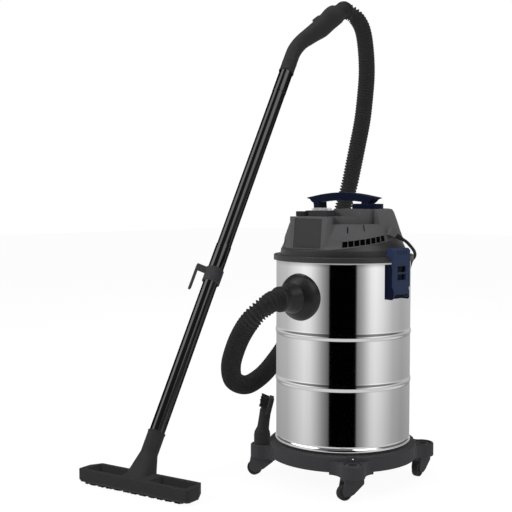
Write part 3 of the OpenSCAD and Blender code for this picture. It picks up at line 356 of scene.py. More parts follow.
def smooth_route(points: Sequence[Sequence[float]], step: float) -> Array:
    """A smooth curve through points, resampled at an even step.

    Between b and c, with neighbours a and d, the curve is the cubic Hermite
    blend whose end slopes are (c - a) and (d - b), scaled by the spans.

    Args:
        points: the route's points.
        step: distance between samples, in millimetres.

    Returns:
        Array (n, 3).
    """
    p = np.asarray(points, float)
    gap = np.linalg.norm(np.diff(p, axis=0), axis=1)
    t = np.concatenate([[0.0], np.cumsum(np.sqrt(gap))])
    slope = np.gradient(p, t, axis=0)
    fine = np.linspace(0.0, t[-1], 60 * len(p))
    k = np.clip(np.searchsorted(t, fine, side="right") - 1, 0, len(p) - 2)
    h = (t[k + 1] - t[k])[:, None]
    u = ((fine - t[k])[:, None]) / h
    curve = ((2 * u ** 3 - 3 * u ** 2 + 1) * p[k] + (u ** 3 - 2 * u ** 2 + u) * h * slope[k]
             + (3 * u ** 2 - 2 * u ** 3) * p[k + 1] + (u ** 3 - u ** 2) * h * slope[k + 1])
    run = np.concatenate([[0.0], np.cumsum(np.linalg.norm(np.diff(curve, axis=0), axis=1))])
    even = np.linspace(0.0, run[-1], max(2, int(round(run[-1] / step)) + 1))
    return np.stack([np.interp(even, run, curve[:, i]) for i in range(3)], axis=-1)


def carried_frames(path: Array, first: Sequence[float] = (0.0, 0.0, 1.0)) -> Tuple[Array, Array]:
    """Two side directions at each point of a path, carried along without twist.

    The start direction is made square to the tangent at the first point, and at
    each next point the last direction is made square to the new tangent.

    Args:
        path: points (n, 3).
        first: rough direction at the start.

    Returns:
        Two arrays (n, 3) of unit vectors.
    """
    tangent = np.gradient(path, axis=0)
    tangent /= np.linalg.norm(tangent, axis=1)[:, None]
    side = np.zeros_like(path)
    v = np.asarray(first, float)
    for i, t in enumerate(tangent):
        v = v - (v @ t) * t
        v = v / np.linalg.norm(v)
        side[i] = v
    return side, np.cross(tangent, side)


def tube_piece(name: str, path: Array, radius: Union[float, Array], sides: int) -> bpy.types.Object:
    """A closed tube: at each point of the path, a ring of the given radius.

    Args:
        name: name of the piece.
        path: points (n, 3).
        radius: one number, or an array (n,) or (n, sides).
        sides: points of each ring.

    Returns:
        The new object.
    """
    side, up = carried_frames(path)
    a = np.linspace(0.0, TAU, sides, endpoint=False)
    r = np.broadcast_to(np.reshape(np.asarray(radius, float), (-1, 1)) if np.ndim(radius) == 1 else radius,
                        (len(path), sides))
    grid = (path[:, None] + r[..., None] * (np.cos(a)[None, :, None] * side[:, None]
                                            + np.sin(a)[None, :, None] * up[:, None]))
    return grid_piece(name, grid, caps=(True, True))


# ----------------------------------------------------------------- materials


class Value:
    """A number in a shader tree that takes part in Python arithmetic."""

    def __init__(self, shader: "Shader", socket: bpy.types.NodeSocket) -> None:
        """Wraps the output socket of a node in the shader's tree."""
        self.shader = shader
        self.socket = socket

    def _math(self, operation: str, other: Any, swapped: bool = False) -> "Value":
        """Adds a Math node on this value and another one."""
        pair = (other, self) if swapped else (self, other)
        return self.shader.node("ShaderNodeMath", {"operation": operation}, {0: pair[0], 1: pair[1]})

    def __add__(self, other: Any) -> "Value":
        """Sum."""
        return self._math("ADD", other)

    __radd__ = __add__

    def __sub__(self, other: Any) -> "Value":
        """Difference."""
        return self._math("SUBTRACT", other)

    def __rsub__(self, other: Any) -> "Value":
        """Reflected difference."""
        return self._math("SUBTRACT", other, True)

    def __mul__(self, other: Any) -> "Value":
        """Product."""
        return self._math("MULTIPLY", other)

    __rmul__ = __mul__

    def __truediv__(self, other: Any) -> "Value":
        """Quotient."""
        return self._math("DIVIDE", other)

    def __pow__(self, other: Any) -> "Value":
        """Power."""
        return self._math("POWER", other)

    def fraction(self) -> "Value":
        """Part after the point."""
        return self._math("FRACT", 0.0)

    def atan2(self, other: Any) -> "Value":
        """Angle whose tangent is this value over the other."""
        return self._math("ARCTAN2", other)

    def between(self, low: float, high: float, soft: str = "SMOOTHSTEP") -> "Value":
        """0 below low, 1 above high, and smooth between."""
        return self.shader.node("ShaderNodeMapRange", {"interpolation_type": soft},
                                {"Value": self, "From Min": low, "From Max": high})


class Shader:
    """Builds the node tree of one material or world."""

    def __init__(self, owner: Any) -> None:
        """Clears the owner's tree."""
        owner.use_nodes = True
        self.tree = owner.node_tree
        self.tree.nodes.clear()
        self._coords: Optional[Value] = None

    def node(self, kind: str, settings: Optional[Dict[str, Any]] = None,
             inputs: Optional[Dict[Any, Any]] = None, out: Union[int, str] = 0) -> Value:
        """Adds a node.

        Args:
            kind: its type.
            settings: properties, set first; "stops" fills a ramp.
            inputs: numbers, colours or values for its sockets.
            out: which output is wanted.

        Returns:
            That output.
        """
        made = self.tree.nodes.new(kind)
        for key, value in (settings or {}).items():
            if key == "stops":
                self._fill(made.color_ramp, value)
            else:
                setattr(made, key, value)
        for key, value in (inputs or {}).items():
            socket = made.inputs[key]
            if isinstance(value, Value):
                self.tree.links.new(value.socket, socket)
            else:
                socket.default_value = value
        return Value(self, made.outputs[out] if len(made.outputs) else None)

    @staticmethod
    def _fill(ramp: bpy.types.ColorRamp, stops: Sequence[Tuple[float, Any]]) -> None:
        """Sets a ramp's stops: (place, level or colour)."""
        while len(ramp.elements) > 1:
            ramp.elements.remove(ramp.elements[-1])
        for i, (at, level) in enumerate(stops):
            stop = ramp.elements[0] if i == 0 else ramp.elements.new(at)
            stop.position = at
            stop.color = (level, level, level, 1.0) if isinstance(level, float) else (*level, 1.0)

    @property
    def coords(self) -> Value:
        """Object coordinates, in metres."""
        if self._coords is None:
            self._coords = self.node("ShaderNodeTexCoord", out="Object")
        return self._coords

    def stretched(self, scale: Tuple[float, float, float]) -> Value:
        """Object coordinates scaled by axis."""
        return self.node("ShaderNodeMapping", {}, {"Vector": self.coords, "Scale": scale})

    def noise(self, scale: float, detail: float = 2.0, vector: Optional[Value] = None) -> Value:
        """Smooth noise from 0 to 1, scale features to the metre."""
        return self.node("ShaderNodeTexNoise", {}, {"Vector": vector or self.coords, "Scale": scale,
                                                    "Detail": detail, "Roughness": 0.55}, out=0)

    def blend(self, factor: Any, a: Any, b: Any) -> Value:
        """Colour between a (factor 0) and b (factor 1)."""
        full = [c if isinstance(c, Value) else (*c, 1.0) for c in (a, b)]
        return self.node("ShaderNodeMix", {"data_type": "RGBA"}, {"Factor": factor, 6: full[0], 7: full[1]}, out=2)

    def bump(self, height: Value, strength: float, depth: float) -> Value:
        """Normal of a height field, depth in metres."""
        return self.node("ShaderNodeBump", {}, {"Height": height, "Strength": strength, "Distance": depth})

    def surface(self, **sockets: Any) -> None:
        """Ends the tree with a Principled shader with these sockets."""
        shader = self.node("ShaderNodeBsdfPrincipled", {}, {k.replace("_", " "): v for k, v in sockets.items()})
        self.node("ShaderNodeOutputMaterial", {}, {"Surface": shader})


def shade(colour: Colour, factor: float) -> Colour:
    """A colour made lighter or darker."""
    return (colour[0] * factor, colour[1] * factor, colour[2] * factor)


@dataclass(frozen=True)
class Finish:
    """Moulded plastic: fine grain, slight mottle and rubbed patches.

    The grain is noise at grain features to the metre. The mottle is broad noise
    that lightens and darkens the colour, and the rub is noise that makes
    patches a little glossier.
    """

    name: str
    slot: str
    colour: Colour
    rough: float = 0.5
    grain: float = 1400.0
    grain_depth: float = 0.00012
    mottle: float = 0.10
    rub: float = 0.08
    coat: float = 0.0
    specular: float = 0.5

    def build(self, shader: Shader) -> None:
        """Fills the node tree."""
        broad = shader.noise(14.0, 3.0)
        fine = shader.noise(self.grain, 2.0)
        tint = shader.blend(broad, shade(self.colour, 1.0 - self.mottle), shade(self.colour, 1.0 + self.mottle))
        dust = shader.noise(220.0, 4.0).between(0.55, 0.8) * 0.06
        tint = shader.blend(dust, tint, shade(self.colour, 1.6))
        rough = (shader.noise(30.0, 3.0) - 0.5) * (2.0 * self.rub) + self.rough
        shader.surface(Base_Color=tint, Roughness=rough, Coat_Weight=self.coat, Coat_Roughness=0.12,
                       Specular_IOR_Level=self.specular, Normal=shader.bump(fine, 0.35, self.grain_depth))

    def material(self) -> bpy.types.Material:
        """The finish's material, made once."""
        found = bpy.data.materials.get(self.name)
        if found is None:
            found = bpy.data.materials.new(self.name)
            self.build(Shader(found))
        return found

    def dress(self, piece: bpy.types.Object) -> None:
        """Gives the whole piece this finish."""
        piece.data.materials.clear()
        piece.data.materials.append(self.material())
        LOG.info("%s has the finish %s", piece.name, self.name)


@dataclass(frozen=True)
class Ribbed(Finish):
    """Plastic that is glossy on its ribs' crowns and dull between them, with painted shade that darkens the grooves'
    colour.

    The piece's own attribute crown is 1 on a crown and 0 in a groove.
    """

    def build(self, shader: Shader) -> None:
        """Fills the node tree."""
        crown = shader.node("ShaderNodeAttribute", {"attribute_name": "crown"}, {}, out="Fac")
        # Painted shade: the grooves' colour is a quarter of the crowns' colour.
        tint = shader.blend(crown, shade(self.colour, 0.25), self.colour)
        shader.surface(Base_Color=tint, Roughness=shader.noise(30.0, 3.0) * self.rub + self.rough,
                       Coat_Weight=crown ** 1.6 * self.coat, Coat_Roughness=0.2, Coat_IOR=1.75,
                       Specular_IOR_Level=self.specular,
                       Normal=shader.bump(shader.noise(self.grain, 2.0), 0.35, self.grain_depth))


@dataclass(frozen=True)
class Steel(Finish):
    """Bright drawn sheet: a mirror with fine vertical lines and faint smears."""

    lines: float = 2400.0

    def build(self, shader: Shader) -> None:
        """Fills the node tree: noise drawn out along Z gives the lines."""
        drawn = shader.noise(1.0, 3.0, shader.stretched((self.lines, self.lines, 14.0)))
        smear = shader.noise(9.0, 4.0)
        tint = shader.blend(smear, shade(self.colour, 0.97), shade(self.colour, 1.02))
        rough = drawn * 0.035 + smear * 0.03 + (self.rough - 0.03)
        shader.surface(Base_Color=tint, Metallic=1.0, Roughness=rough,
                       Normal=shader.bump(drawn, 0.05, 0.00001))


@dataclass(frozen=True)
class Lacquer(Finish):
    """Dark plated steel tube: a dim mirror that goes black at its edges."""

    def build(self, shader: Shader) -> None:
        """Fills the node tree."""
        peel = shader.noise(420.0, 2.0)
        tint = shader.blend(shader.noise(60.0, 4.0), self.colour, shade(self.colour, 1.12))
        rough = shader.noise(40.0, 3.0) * 0.05 + self.rough
        shader.surface(Base_Color=tint, Metallic=1.0, Specular_Tint=(0.0, 0.0, 0.0, 1.0), Roughness=rough,
                       Normal=shader.bump(peel, 0.05, 0.00003))


@dataclass(frozen=True)
class PlainMetal(Finish):
    """Cast or plated metal with a fine blasted grain."""

    def build(self, shader: Shader) -> None:
        """Fills the node tree."""
        grain = shader.noise(self.grain, 3.0)
        tint = shader.blend(shader.noise(40.0, 3.0), shade(self.colour, 0.85), shade(self.colour, 1.1))
        rough = grain * 0.15 + self.rough
        shader.surface(Base_Color=tint, Metallic=1.0, Roughness=rough, Normal=shader.bump(grain, 0.2, 0.0001))


@dataclass(frozen=True)
class Paper(Finish):
    """Pleated filter paper: fibres and a little dust."""

    def build(self, shader: Shader) -> None:
        """Fills the node tree."""
        fibre = shader.noise(1.0, 3.0, shader.stretched((900.0, 900.0, 160.0)))
        tint = shader.blend(shader.noise(35.0, 4.0), shade(self.colour, 0.86), self.colour)
        shader.surface(Base_Color=tint, Roughness=0.9, Normal=shader.bump(fibre, 0.5, 0.0003))


@dataclass(frozen=True)
class Clear(Finish):
    """Clear moulded plastic."""

    def build(self, shader: Shader) -> None:
        """Fills the node tree."""
        ripple = shader.noise(500.0, 2.0)
        rough = ripple * 0.1 + 0.04
        shader.surface(Base_Color=(*self.colour, 1.0), Roughness=rough, Transmission_Weight=0.75, IOR=1.49,
                       Normal=shader.bump(ripple, 0.1, 0.0001))


class Finishes:
    """Every finish of the machine."""

    head = Finish("head_grey", "head_grey", (0.050, 0.050, 0.0515), 0.38, specular=0.4)
    lid = Finish("lid_grey", "head_grey", (0.040, 0.040, 0.0412), 0.38, specular=0.4)
    panel = Finish("panel_grey", "head_grey", (0.052, 0.052, 0.053), 0.6, grain=2600.0, specular=0.3)
    dolly = Finish("dolly_plastic", "dolly_plastic", (0.034, 0.034, 0.036), 0.42)
    black = Finish("black_plastic", "black_plastic", (0.0058, 0.0058, 0.0060), 0.22, specular=0.26)
    dome = Finish("dome_black", "black_plastic", (0.0100, 0.0100, 0.0104), 0.4, specular=0.42)
    hose = Ribbed("hose_plastic", "hose_plastic", (0.0040, 0.0040, 0.0042), 0.4, grain=2200.0,
                  grain_depth=0.00003, rub=0.1, coat=1.0, specular=0.06)
    navy = Finish("navy_plastic", "navy_plastic", (0.0085, 0.0245, 0.0850), 0.4, specular=0.12)
    # Painted shade: the navy plastic made about three times darker, as it looks shadowed on the latch brackets; the
    # carry handle, latch pins and rivets get it too.
    navy_shaded = Finish("navy_painted_shade", "navy_plastic", (0.0036, 0.0076, 0.0280), 0.4, specular=0.09)
    screen = Finish("screen_black", "black_plastic", (0.0015, 0.0015, 0.0016), 0.7, specular=0.05)
    tread = Finish("wheel_rubber", "tread", (0.016, 0.016, 0.017), 0.7, mottle=0.2)
    sheath = Finish("cord_sheath", "cord_sheath", (0.011, 0.011, 0.012), 0.5, grain=2600.0)
    bristle = Finish("bristle", "bristle", (0.007, 0.007, 0.0075), 0.55, grain=3000.0, mottle=0.3)
    red = Finish("switch_red", "switch_red", (0.30, 0.016, 0.012), 0.25, coat=0.3)
    orange = Finish("float_plastic", "float_plastic", (0.62, 0.20, 0.03), 0.45)
    steel = Steel("drum_steel", "stainless", (0.93, 0.93, 0.935), 0.07)
    lacquer = Lacquer("tube_lacquer", "black_tube", (0.066, 0.066, 0.068), 0.11)
    zinc = PlainMetal("zinc", "zinc", (0.62, 0.62, 0.62), 0.3)
    cast = PlainMetal("cast_aluminium", "cast_aluminium", (0.6, 0.6, 0.58), 0.4)
    lamination = PlainMetal("lamination", "lamination", (0.28, 0.26, 0.24), 0.4)
    copper = PlainMetal("copper", "copper", (0.65, 0.32, 0.16), 0.3)
    paper = Paper("filter_paper", "filter_paper", (0.72, 0.70, 0.60), 0.9)
    clear = Clear("clear_cap", "clear_cap", (0.62, 0.64, 0.70), 0.1)


# -------------------------------------------------------------------- studio


@dataclass
class Studio:
    """Floor, light and camera."""

    eye: Tuple[float, float, float] = (1384.4, -1771.8, 638.0)
    heading: Tuple[float, float] = (-0.682, 0.73135)
    dip: float = 0.0622
    lens: float = 70.31
    floor_half: float = 12.0
    bands: Tuple[Tuple[float, float], ...] = (
        (-180.0, 0.50), (-150.0, 0.50), (-110.0, 0.58), (-69.0, 0.98), (-57.0, 0.90), (-45.0, 0.62),
        (-35.0, 0.36), (-24.0, 0.15), (-22.5, 0.0), (22.0, 0.0), (23.5, 0.24), (34.0, 0.46), (48.0, 0.92),
        (56.0, 1.0), (67.0, 0.90), (93.0, 0.55), (118.0, 0.44), (150.0, 0.50))
    boxes: Tuple[Tuple[float, float], ...] = (
        (-180.0, 0.06), (-112.0, 0.06), (-104.0, 0.9), (-62.0, 1.0), (-54.0, 0.05), (24.0, 0.04), (30.0, 0.7),
        (72.0, 0.8), (80.0, 0.06))

    def camera(self) -> None:
        """Sets the camera: a level heading, tipped down by the dip."""
        data = bpy.data.cameras.new("camera")
        data.lens = self.lens
        data.sensor_width = 36.0
        data.clip_end = 50.0
        eye = bpy.data.objects.new("camera", data)
        look = Vector((self.heading[0] * math.cos(self.dip), self.heading[1] * math.cos(self.dip),
                       -math.sin(self.dip)))
        eye.location = Vector(self.eye) * MM
        eye.rotation_euler = look.to_track_quat("-Z", "Y").to_euler()
        bpy.context.scene.collection.objects.link(eye)
        bpy.context.scene.camera = eye

    def world(self) -> None:
        """Even light for matt surfaces, white for the eye, and bands for gloss.

        The bands are levels over the compass: two broad bright screens with a
        dark gap between them. They fade upwards, to the two soft boxes that
        hang above, and end below in a pale floor.
        """
        world = bpy.data.worlds.new("studio")
        bpy.context.scene.world = world
        shader = Shader(world)
        way = shader.node("ShaderNodeTexCoord", out="Generated")
        x, y, z = (shader.node("ShaderNodeSeparateXYZ", {}, {0: way}, out=a) for a in "XYZ")
        front = math.atan2(self.eye[1], self.eye[0])
        turned = (y.atan2(x) - front) / TAU
        place_on_ramp = (turned + 1.5).fraction()
        stops = [((a + 180.0) / 360.0, float(v)) for a, v in self.bands]
        ring = shader.node("ShaderNodeValToRGB", {"stops": stops}, {0: place_on_ramp})
        fall = ((z * 1.6 + 1.1).between(0.55, 1.1, "LINEAR") * 0.55 + 0.5) * (1.0 - z.between(0.03, 0.2) * 0.78)
        boxes = shader.node("ShaderNodeValToRGB", {"stops": [
            ((a + 180.0) / 360.0, float(v)) for a, v in self.boxes]}, {0: place_on_ramp})
        path = {k: shader.node("ShaderNodeLightPath", out=k)
                for k in ("Is Camera Ray", "Is Glossy Ray", "Is Transmission Ray")}
        soft = shader.node("ShaderNodeBackground", {}, {"Color": (1.0, 1.0, 1.0, 1.0), "Strength": 0.34})
        banded = shader.node("ShaderNodeBackground", {}, {"Color": ring, "Strength": fall})
        above = shader.node("ShaderNodeBackground", {}, {"Color": boxes, "Strength": 2.4})
        below = shader.node("ShaderNodeBackground", {}, {"Color": (1.0, 1.0, 1.0, 1.0), "Strength": 0.62})
        banded = shader.node("ShaderNodeMixShader", {}, {0: z.between(0.44, 0.56), 1: banded, 2: above})
        banded = shader.node("ShaderNodeMixShader", {}, {0: z.between(-0.42, -0.3), 1: below, 2: banded})
        white = shader.node("ShaderNodeBackground", {}, {"Color": (1.0, 1.0, 1.0, 1.0), "Strength": 1.0})
        mixed = shader.node("ShaderNodeMixShader", {}, {0: path["Is Glossy Ray"], 1: soft, 2: banded})
        seen = path["Is Camera Ray"] + path["Is Transmission Ray"]
        mixed = shader.node("ShaderNodeMixShader", {}, {0: seen, 1: mixed, 2: white})
        shader.node("ShaderNodeOutputWorld", {}, {"Surface": mixed})

    def lamp(self, name: str, at: Tuple[float, float, float], towards: Tuple[float, float, float],
             size: float, power: float) -> None:
        """A square soft lamp that shines at a point (metres); matt surfaces only."""
        data = bpy.data.lights.new(name, "AREA")
        data.size = size
        data.energy = power
        data.specular_factor = 0.5
        lamp = bpy.data.objects.new(name, data)
        lamp.location = at
        lamp.rotation_euler = (Vector(towards) - Vector(at)).to_track_quat("-Z", "Y").to_euler()
        lamp.visible_glossy = False
        bpy.context.scene.collection.objects.link(lamp)

    def floor(self) -> None:
        """A pale floor: white to the eye, with a share of real shade for the shadow."""
        h = self.floor_half
        corners = np.array([(-h, -h, 0.0), (h, -h, 0.0), (h, h, 0.0), (-h, h, 0.0)]) / MM
        floor = add_mesh("floor", corners + np.array([0.0, 0.0, -0.4]), [(0, 1, 2, 3)], smooth=False)
        material = bpy.data.materials.new("floor_paper")
        shader = Shader(material)
        fleck = shader.noise(260.0, 3.0)
        paper = shader.node("ShaderNodeBsdfPrincipled", {}, {
            "Base Color": shader.blend(fleck, (0.86, 0.86, 0.86), (0.9, 0.9, 0.9)), "Roughness": 0.9})
        glow = shader.node("ShaderNodeEmission", {}, {"Color": (1.0, 1.0, 1.0, 1.0), "Strength": 1.05})
        camera = shader.node("ShaderNodeLightPath", out="Is Camera Ray")
        mixed = shader.node("ShaderNodeMixShader", {}, {0: camera * 0.9, 1: paper, 2: glow})
        shader.node("ShaderNodeOutputMaterial", {}, {"Surface": mixed})
        floor.data.materials.append(material)
        floor.visible_glossy = False

    def build(self) -> None:
        """Camera, floor, world and lamps."""
        view = bpy.context.scene.view_settings
        view.view_transform = "Standard"
        self.camera()
        self.world()
        self.floor()
        centre = (-0.08, 0.0, 0.45)
        self.lamp("key", (-0.9, -2.6, 2.2), centre, 1.2, 34.0)
        self.lamp("fill", (2.7, 0.5, 1.6), centre, 1.4, 14.0)
        self.lamp("top", (0.1, 0.2, 3.0), centre, 1.8, 24.0)
        self.lamp("back", (-2.2, 2.4, 2.0), centre, 1.6, 12.0)


# ---------------------------------------------------------------- hose, cord


@dataclass
class Hose:
    """Ribbed suction hose from the inlet's cuff to the grip's cuff."""

    radius: float = 22.0
    pitch: float = 8.0
    depth: float = 5.2
    sides: int = 28
    rows: int = 10
    route: Tuple[Tuple[float, float, float], ...] = (
        (0, -212, 417), (0, -220, 417), (0, -230, 417), (1, -247, 412), (-8, -268, 397), (-26, -279, 374),
        (-55, -274, 343), (-89, -258, 306), (-127, -231, 264), (-164, -185, 222), (-194, -113, 197),
        (-210, -59, 200), (-220, -12, 215), (-229, 60, 262), (-230, 89, 290), (-228, 125, 333),
        (-223, 164, 395), (-215, 199, 463), (-208, 228, 527), (-200, 279, 659), (-201, 294, 699),
        (-205, 320, 764), (-211, 348, 831), (-221, 373, 899), (-231, 392, 953), (-245, 408, 1009),
        (-263, 420, 1068), (-275, 422, 1094), (-290, 419, 1115), (-300, 410, 1126), (-306, 398, 1131),
        (-297, 377, 1131), (-290, 361, 1126), (-293, 356, 1121), (-296, 352, 1118))

    def build(self) -> None:
        """The hose as one tube whose radius follows a helix.

        The radius is R - d w(q), where q is the fraction of s/pitch + a/turn,
        and w is 0 on the crown and 1 in the groove.
        """
        path = smooth_route(self.route, self.pitch / self.rows)
        s = np.arange(len(path))[:, None] * (self.pitch / self.rows)
        a = np.linspace(0.0, 1.0, self.sides, endpoint=False)[None, :]
        q = (s / self.pitch + a) % 1.0
        groove = 1.0 - (0.5 + 0.5 * np.cos(TAU * q)) ** 1.3
        ends = np.clip(np.minimum(s, s[-1] - s) / 5.0, 0.0, 1.0)
        piece = tube_piece("suction_hose", path, self.radius - self.depth * groove * ends, self.sides)
        # The crown level also masks the finish's painted shade in the grooves.
        level = np.zeros(len(piece.data.vertices))
        level[:q.size] = (1.0 - groove * ends).ravel()
        piece.data.attributes.new("crown", "FLOAT", "POINT").data.foreach_set("value", level)
        Finishes.hose.dress(piece)
        piece.visible_glossy = False
        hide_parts("hose")
        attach(piece, Body.BASE.value)


@dataclass
class PowerCord:
    """Mains cord: out of the head, down behind the drum and into a coil."""

    width: float = 7.0
    coil: Tuple[float, float] = (-160.0, 303.0)
    outer: float = 60.0
    inner: float = 32.0
    plug_z: float = 17.5
    route: Tuple[Tuple[float, float, float], ...] = (
        (135, -1, 553), (136, 3, 551), (140, 19, 543), (143, 36, 535), (139, 65, 520), (121, 104, 506),
        (107, 124, 496), (87, 142, 484), (56, 171, 444), (34, 191, 400), (15, 206, 348), (-4, 219, 288),
        (-23, 230, 219), (-39, 236, 149), (-52, 239, 94), (-63, 241, 50), (-73, 242, 23), (-91, 243, 7),
        (-113, 243, 4), (-131, 243, 4))

    def coiled(self) -> Array:
        """Centreline of the coil: in on the floor, out on that, in again, and across the top.

        Each knot gives turns, radius and height; the angle falls by one turn for
        each turn, starting at -90 degrees.
        """
        low, mid, top = (self.width * (0.5 + i) for i in range(3))
        knots = np.array([
            (0.0, self.outer, low), (4.0, self.inner, low), (4.5, self.inner - 1.0, mid),
            (8.5, self.outer, mid), (9.0, self.outer + 1.0, top), (12.7, self.inner + 2.6, top),
            (13.0, self.inner + 1.0, top + self.width), (13.12, self.inner + 12.0, top + self.width),
            (13.25, self.outer, top + self.width)])
        t = np.arange(0.05, 13.2501, 1.0 / 72.0)
        r, z = (np.interp(t, knots[:, 0], knots[:, i]) for i in (1, 2))
        a = math.radians(-90.0) - TAU * t
        return np.stack([self.coil[0] + r * np.cos(a), self.coil[1] + r * np.sin(a), z], axis=-1)

    def build(self) -> None:
        """The cord as one tube, curved along its route from the head down to the coil by the base."""
        x = self.coil[0] - self.outer
        y = self.coil[1]
        tail = np.array([(x, y + 18.0, self.plug_z + 5.5), (x, y + 27.0, self.plug_z + 1.5),
                         (x, y + 35.0, self.plug_z), (x, y + 42.0, self.plug_z)])
        path = smooth_route(np.concatenate([np.asarray(self.route, float)[:-1], self.coiled(), tail]), 3.5)
        piece = tube_piece("mains_cord", path, self.width / 2 - 0.02, 10)
        Finishes.sheath.dress(piece)
        piece.visible_glossy = False
        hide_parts("power_cord", "cord_coil")
        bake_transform(piece)


# ---------------------------------------------------------------------- drum


@dataclass
class Drum:
    """Drawn steel drum: two rolled beads, a hemmed rim and a curled foot."""

    radius: float = 150.0
    wall: float = 0.8
    foot: float = 89.3
    top: float = 497.3
    beads: Tuple[float, float] = (226.3, 334.3)
    bead_out: float = 1.6
    bead_high: float = 15.0
    inlet_z: float = 417.3
    hole: float = 24.2
    steps: int = 288

    def side(self, r: float) -> List[Tuple[float, float]]:
        """Profile of the wall's face of radius r, from the foot up.

        A bead adds out * (1 + cos(pi q)) / 2 to the radius, where q runs from
        -1 to 1 over its height, so its foot blends into the wall.
        """
        half = self.bead_high / 2 + 1.5
        line = [(r - 1.2, self.foot + 8.0), (r - 0.5, self.foot + 9.4), (r, self.foot + 10.6),
                (r, self.foot + 11.8), (r, self.foot + 40.0)]
        for z in self.beads:
            line += [(r, z - half - 1.0)]
            line += [(r + self.bead_out * 0.5 * (1.0 + math.cos(math.pi * q)), z + q * half)
                     for q in np.linspace(-1.0, 1.0, 17)]
            line += [(r, z + half + 1.0)]
        return line + [(r, z) for z in np.linspace(self.beads[1] + 20.0, self.top - 3.0, 12)]

    def build(self) -> None:
        """The shell with its inlet hole, and its foot."""
        curl = [(self.radius + 0.3 + 1.2 * math.cos(a), self.top - 1.2 + 1.2 * math.sin(a))
                for a in np.linspace(-0.5 * math.pi, math.pi, 12)]
        outer, inner = self.side(self.radius), self.side(self.radius - self.wall)[::-1]
        foot = [(self.radius - 3.0, self.foot + 8.0), (self.radius - 3.0, self.foot + 1.0),
                (self.radius - 2.4, self.foot + 0.3), (self.radius - 1.0, self.foot),
                (self.radius + 1.0, self.foot), (self.radius + 1.8, self.foot + 0.5),
                (self.radius + 2.0, self.foot + 1.4), (self.radius + 2.0, self.foot + 3.6),
                (self.radius + 1.0, self.foot + 6.0), (self.radius - 1.0, self.foot + 7.4)]
        shell = lathe_piece("drum_shell", foot + outer + curl + inner, steps=self.steps)
        cutter = lathe_piece("cutter", [(0.0, 100.0), (self.hole, 100.0), (self.hole, 200.0), (0.0, 200.0)],
                             shift(0.0, 0.0, self.inlet_z) @ turn("x", 90.0), steps=48)
        cut_out(shell, cutter)
        whole = joined("drum", [shell])
        bpy.data.objects.remove(cutter)
        Finishes.steel.dress(whole)
        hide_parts("tank_shell")
        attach(whole, Body.BASE.value)


# ------------------------------------------------------------------- casters


@dataclass
class Wheel:
    """Caster wheel: rounded tread, dished sides and a hub with a bore."""

    corner: str
    lobe: float
    trail: float
    radius: float = 16.5
    width: float = 14.0
    bore: float = 3.05

    def matrix(self) -> Array:
        """Frame at the wheel's middle, local Z along its axle."""
        return (turn("z", self.lobe) @ shift(182.0, 0.0, 0.0) @ turn("z", self.trail - self.lobe)
                @ shift(20.0, 0.0, self.radius) @ turn("x", 90.0))

    def build(self) -> None:
        """The wheel as one turned piece."""
        h, r = self.width / 2, self.radius
        half = [(self.bore, h - 0.6), (6.0, h - 0.6), (6.6, h - 1.6), (r - 5.4, h - 1.8), (r - 4.6, h - 0.4),
                (r - 3.6, h), (r - 2.0, h), (r - 0.7, h - 0.6), (r - 0.15, h - 2.0), (r, h - 3.4)]
        profile = [(a, -b) for a, b in half] + half[::-1]
        piece = lathe_piece("wheel_" + self.corner, profile, self.matrix(), 64, 0.5)
        Finishes.tread.dress(piece)
        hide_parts("wheel_" + self.corner)
        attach(piece, frame["nodes"]["wheel_" + self.corner]["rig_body"])


class Wheels:
    """The four wheels, each at its own rest turn."""

    turns: Tuple[Tuple[str, float, float], ...] = (
        ("front_right", -45.0, -113.0), ("rear_right", 45.0, -84.0), ("rear_left", 135.0, 60.0),
        ("front_left", -135.0, -168.0))

    @classmethod
    def build(cls) -> None:
        """Builds each."""
        for corner, lobe, trail in cls.turns:
            Wheel(corner, lobe, trail).build()


# ------------------------------------------------------------ wand and tools


@dataclass
class Tubes:
    """Lacquered steel tubes of the wand, pushed into each other.

    Each span names the piece and its solid, where on the wand it begins and
    ends, and how much its upper end swells.
    """

    radius: float = 17.5
    wall: float = 1.0
    spans: Tuple[Tuple[str, str, float, float, float], ...] = (
        ("wand_lower", "lower_tube", -39.0, 476.0, 1.1), ("wand_upper", "upper_tube", 416.0, 998.0, 0.4))

    def build(self) -> None:
        """The lower and the upper tube."""
        r = self.radius
        bore = r - self.wall
        for name, solid, low, joint, wide in self.spans:
            profile = [(bore, low), (r - 0.3, low), (r, low + 0.4), (r, joint - 68.0), (r + wide, joint - 64.0),
                       (r + wide, joint - 0.6), (r + wide - 0.2, joint), (r + 0.1, joint), (r + 0.1, joint - 63.0),
                       (bore, joint - 66.0)]
            piece = lathe_piece(name, profile, Placement.wand(0.0), 96, 0.6)
            Finishes.lacquer.dress(piece)
            piece.visible_glossy = False
            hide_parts(solid)
            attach(piece, Body.BASE.value)


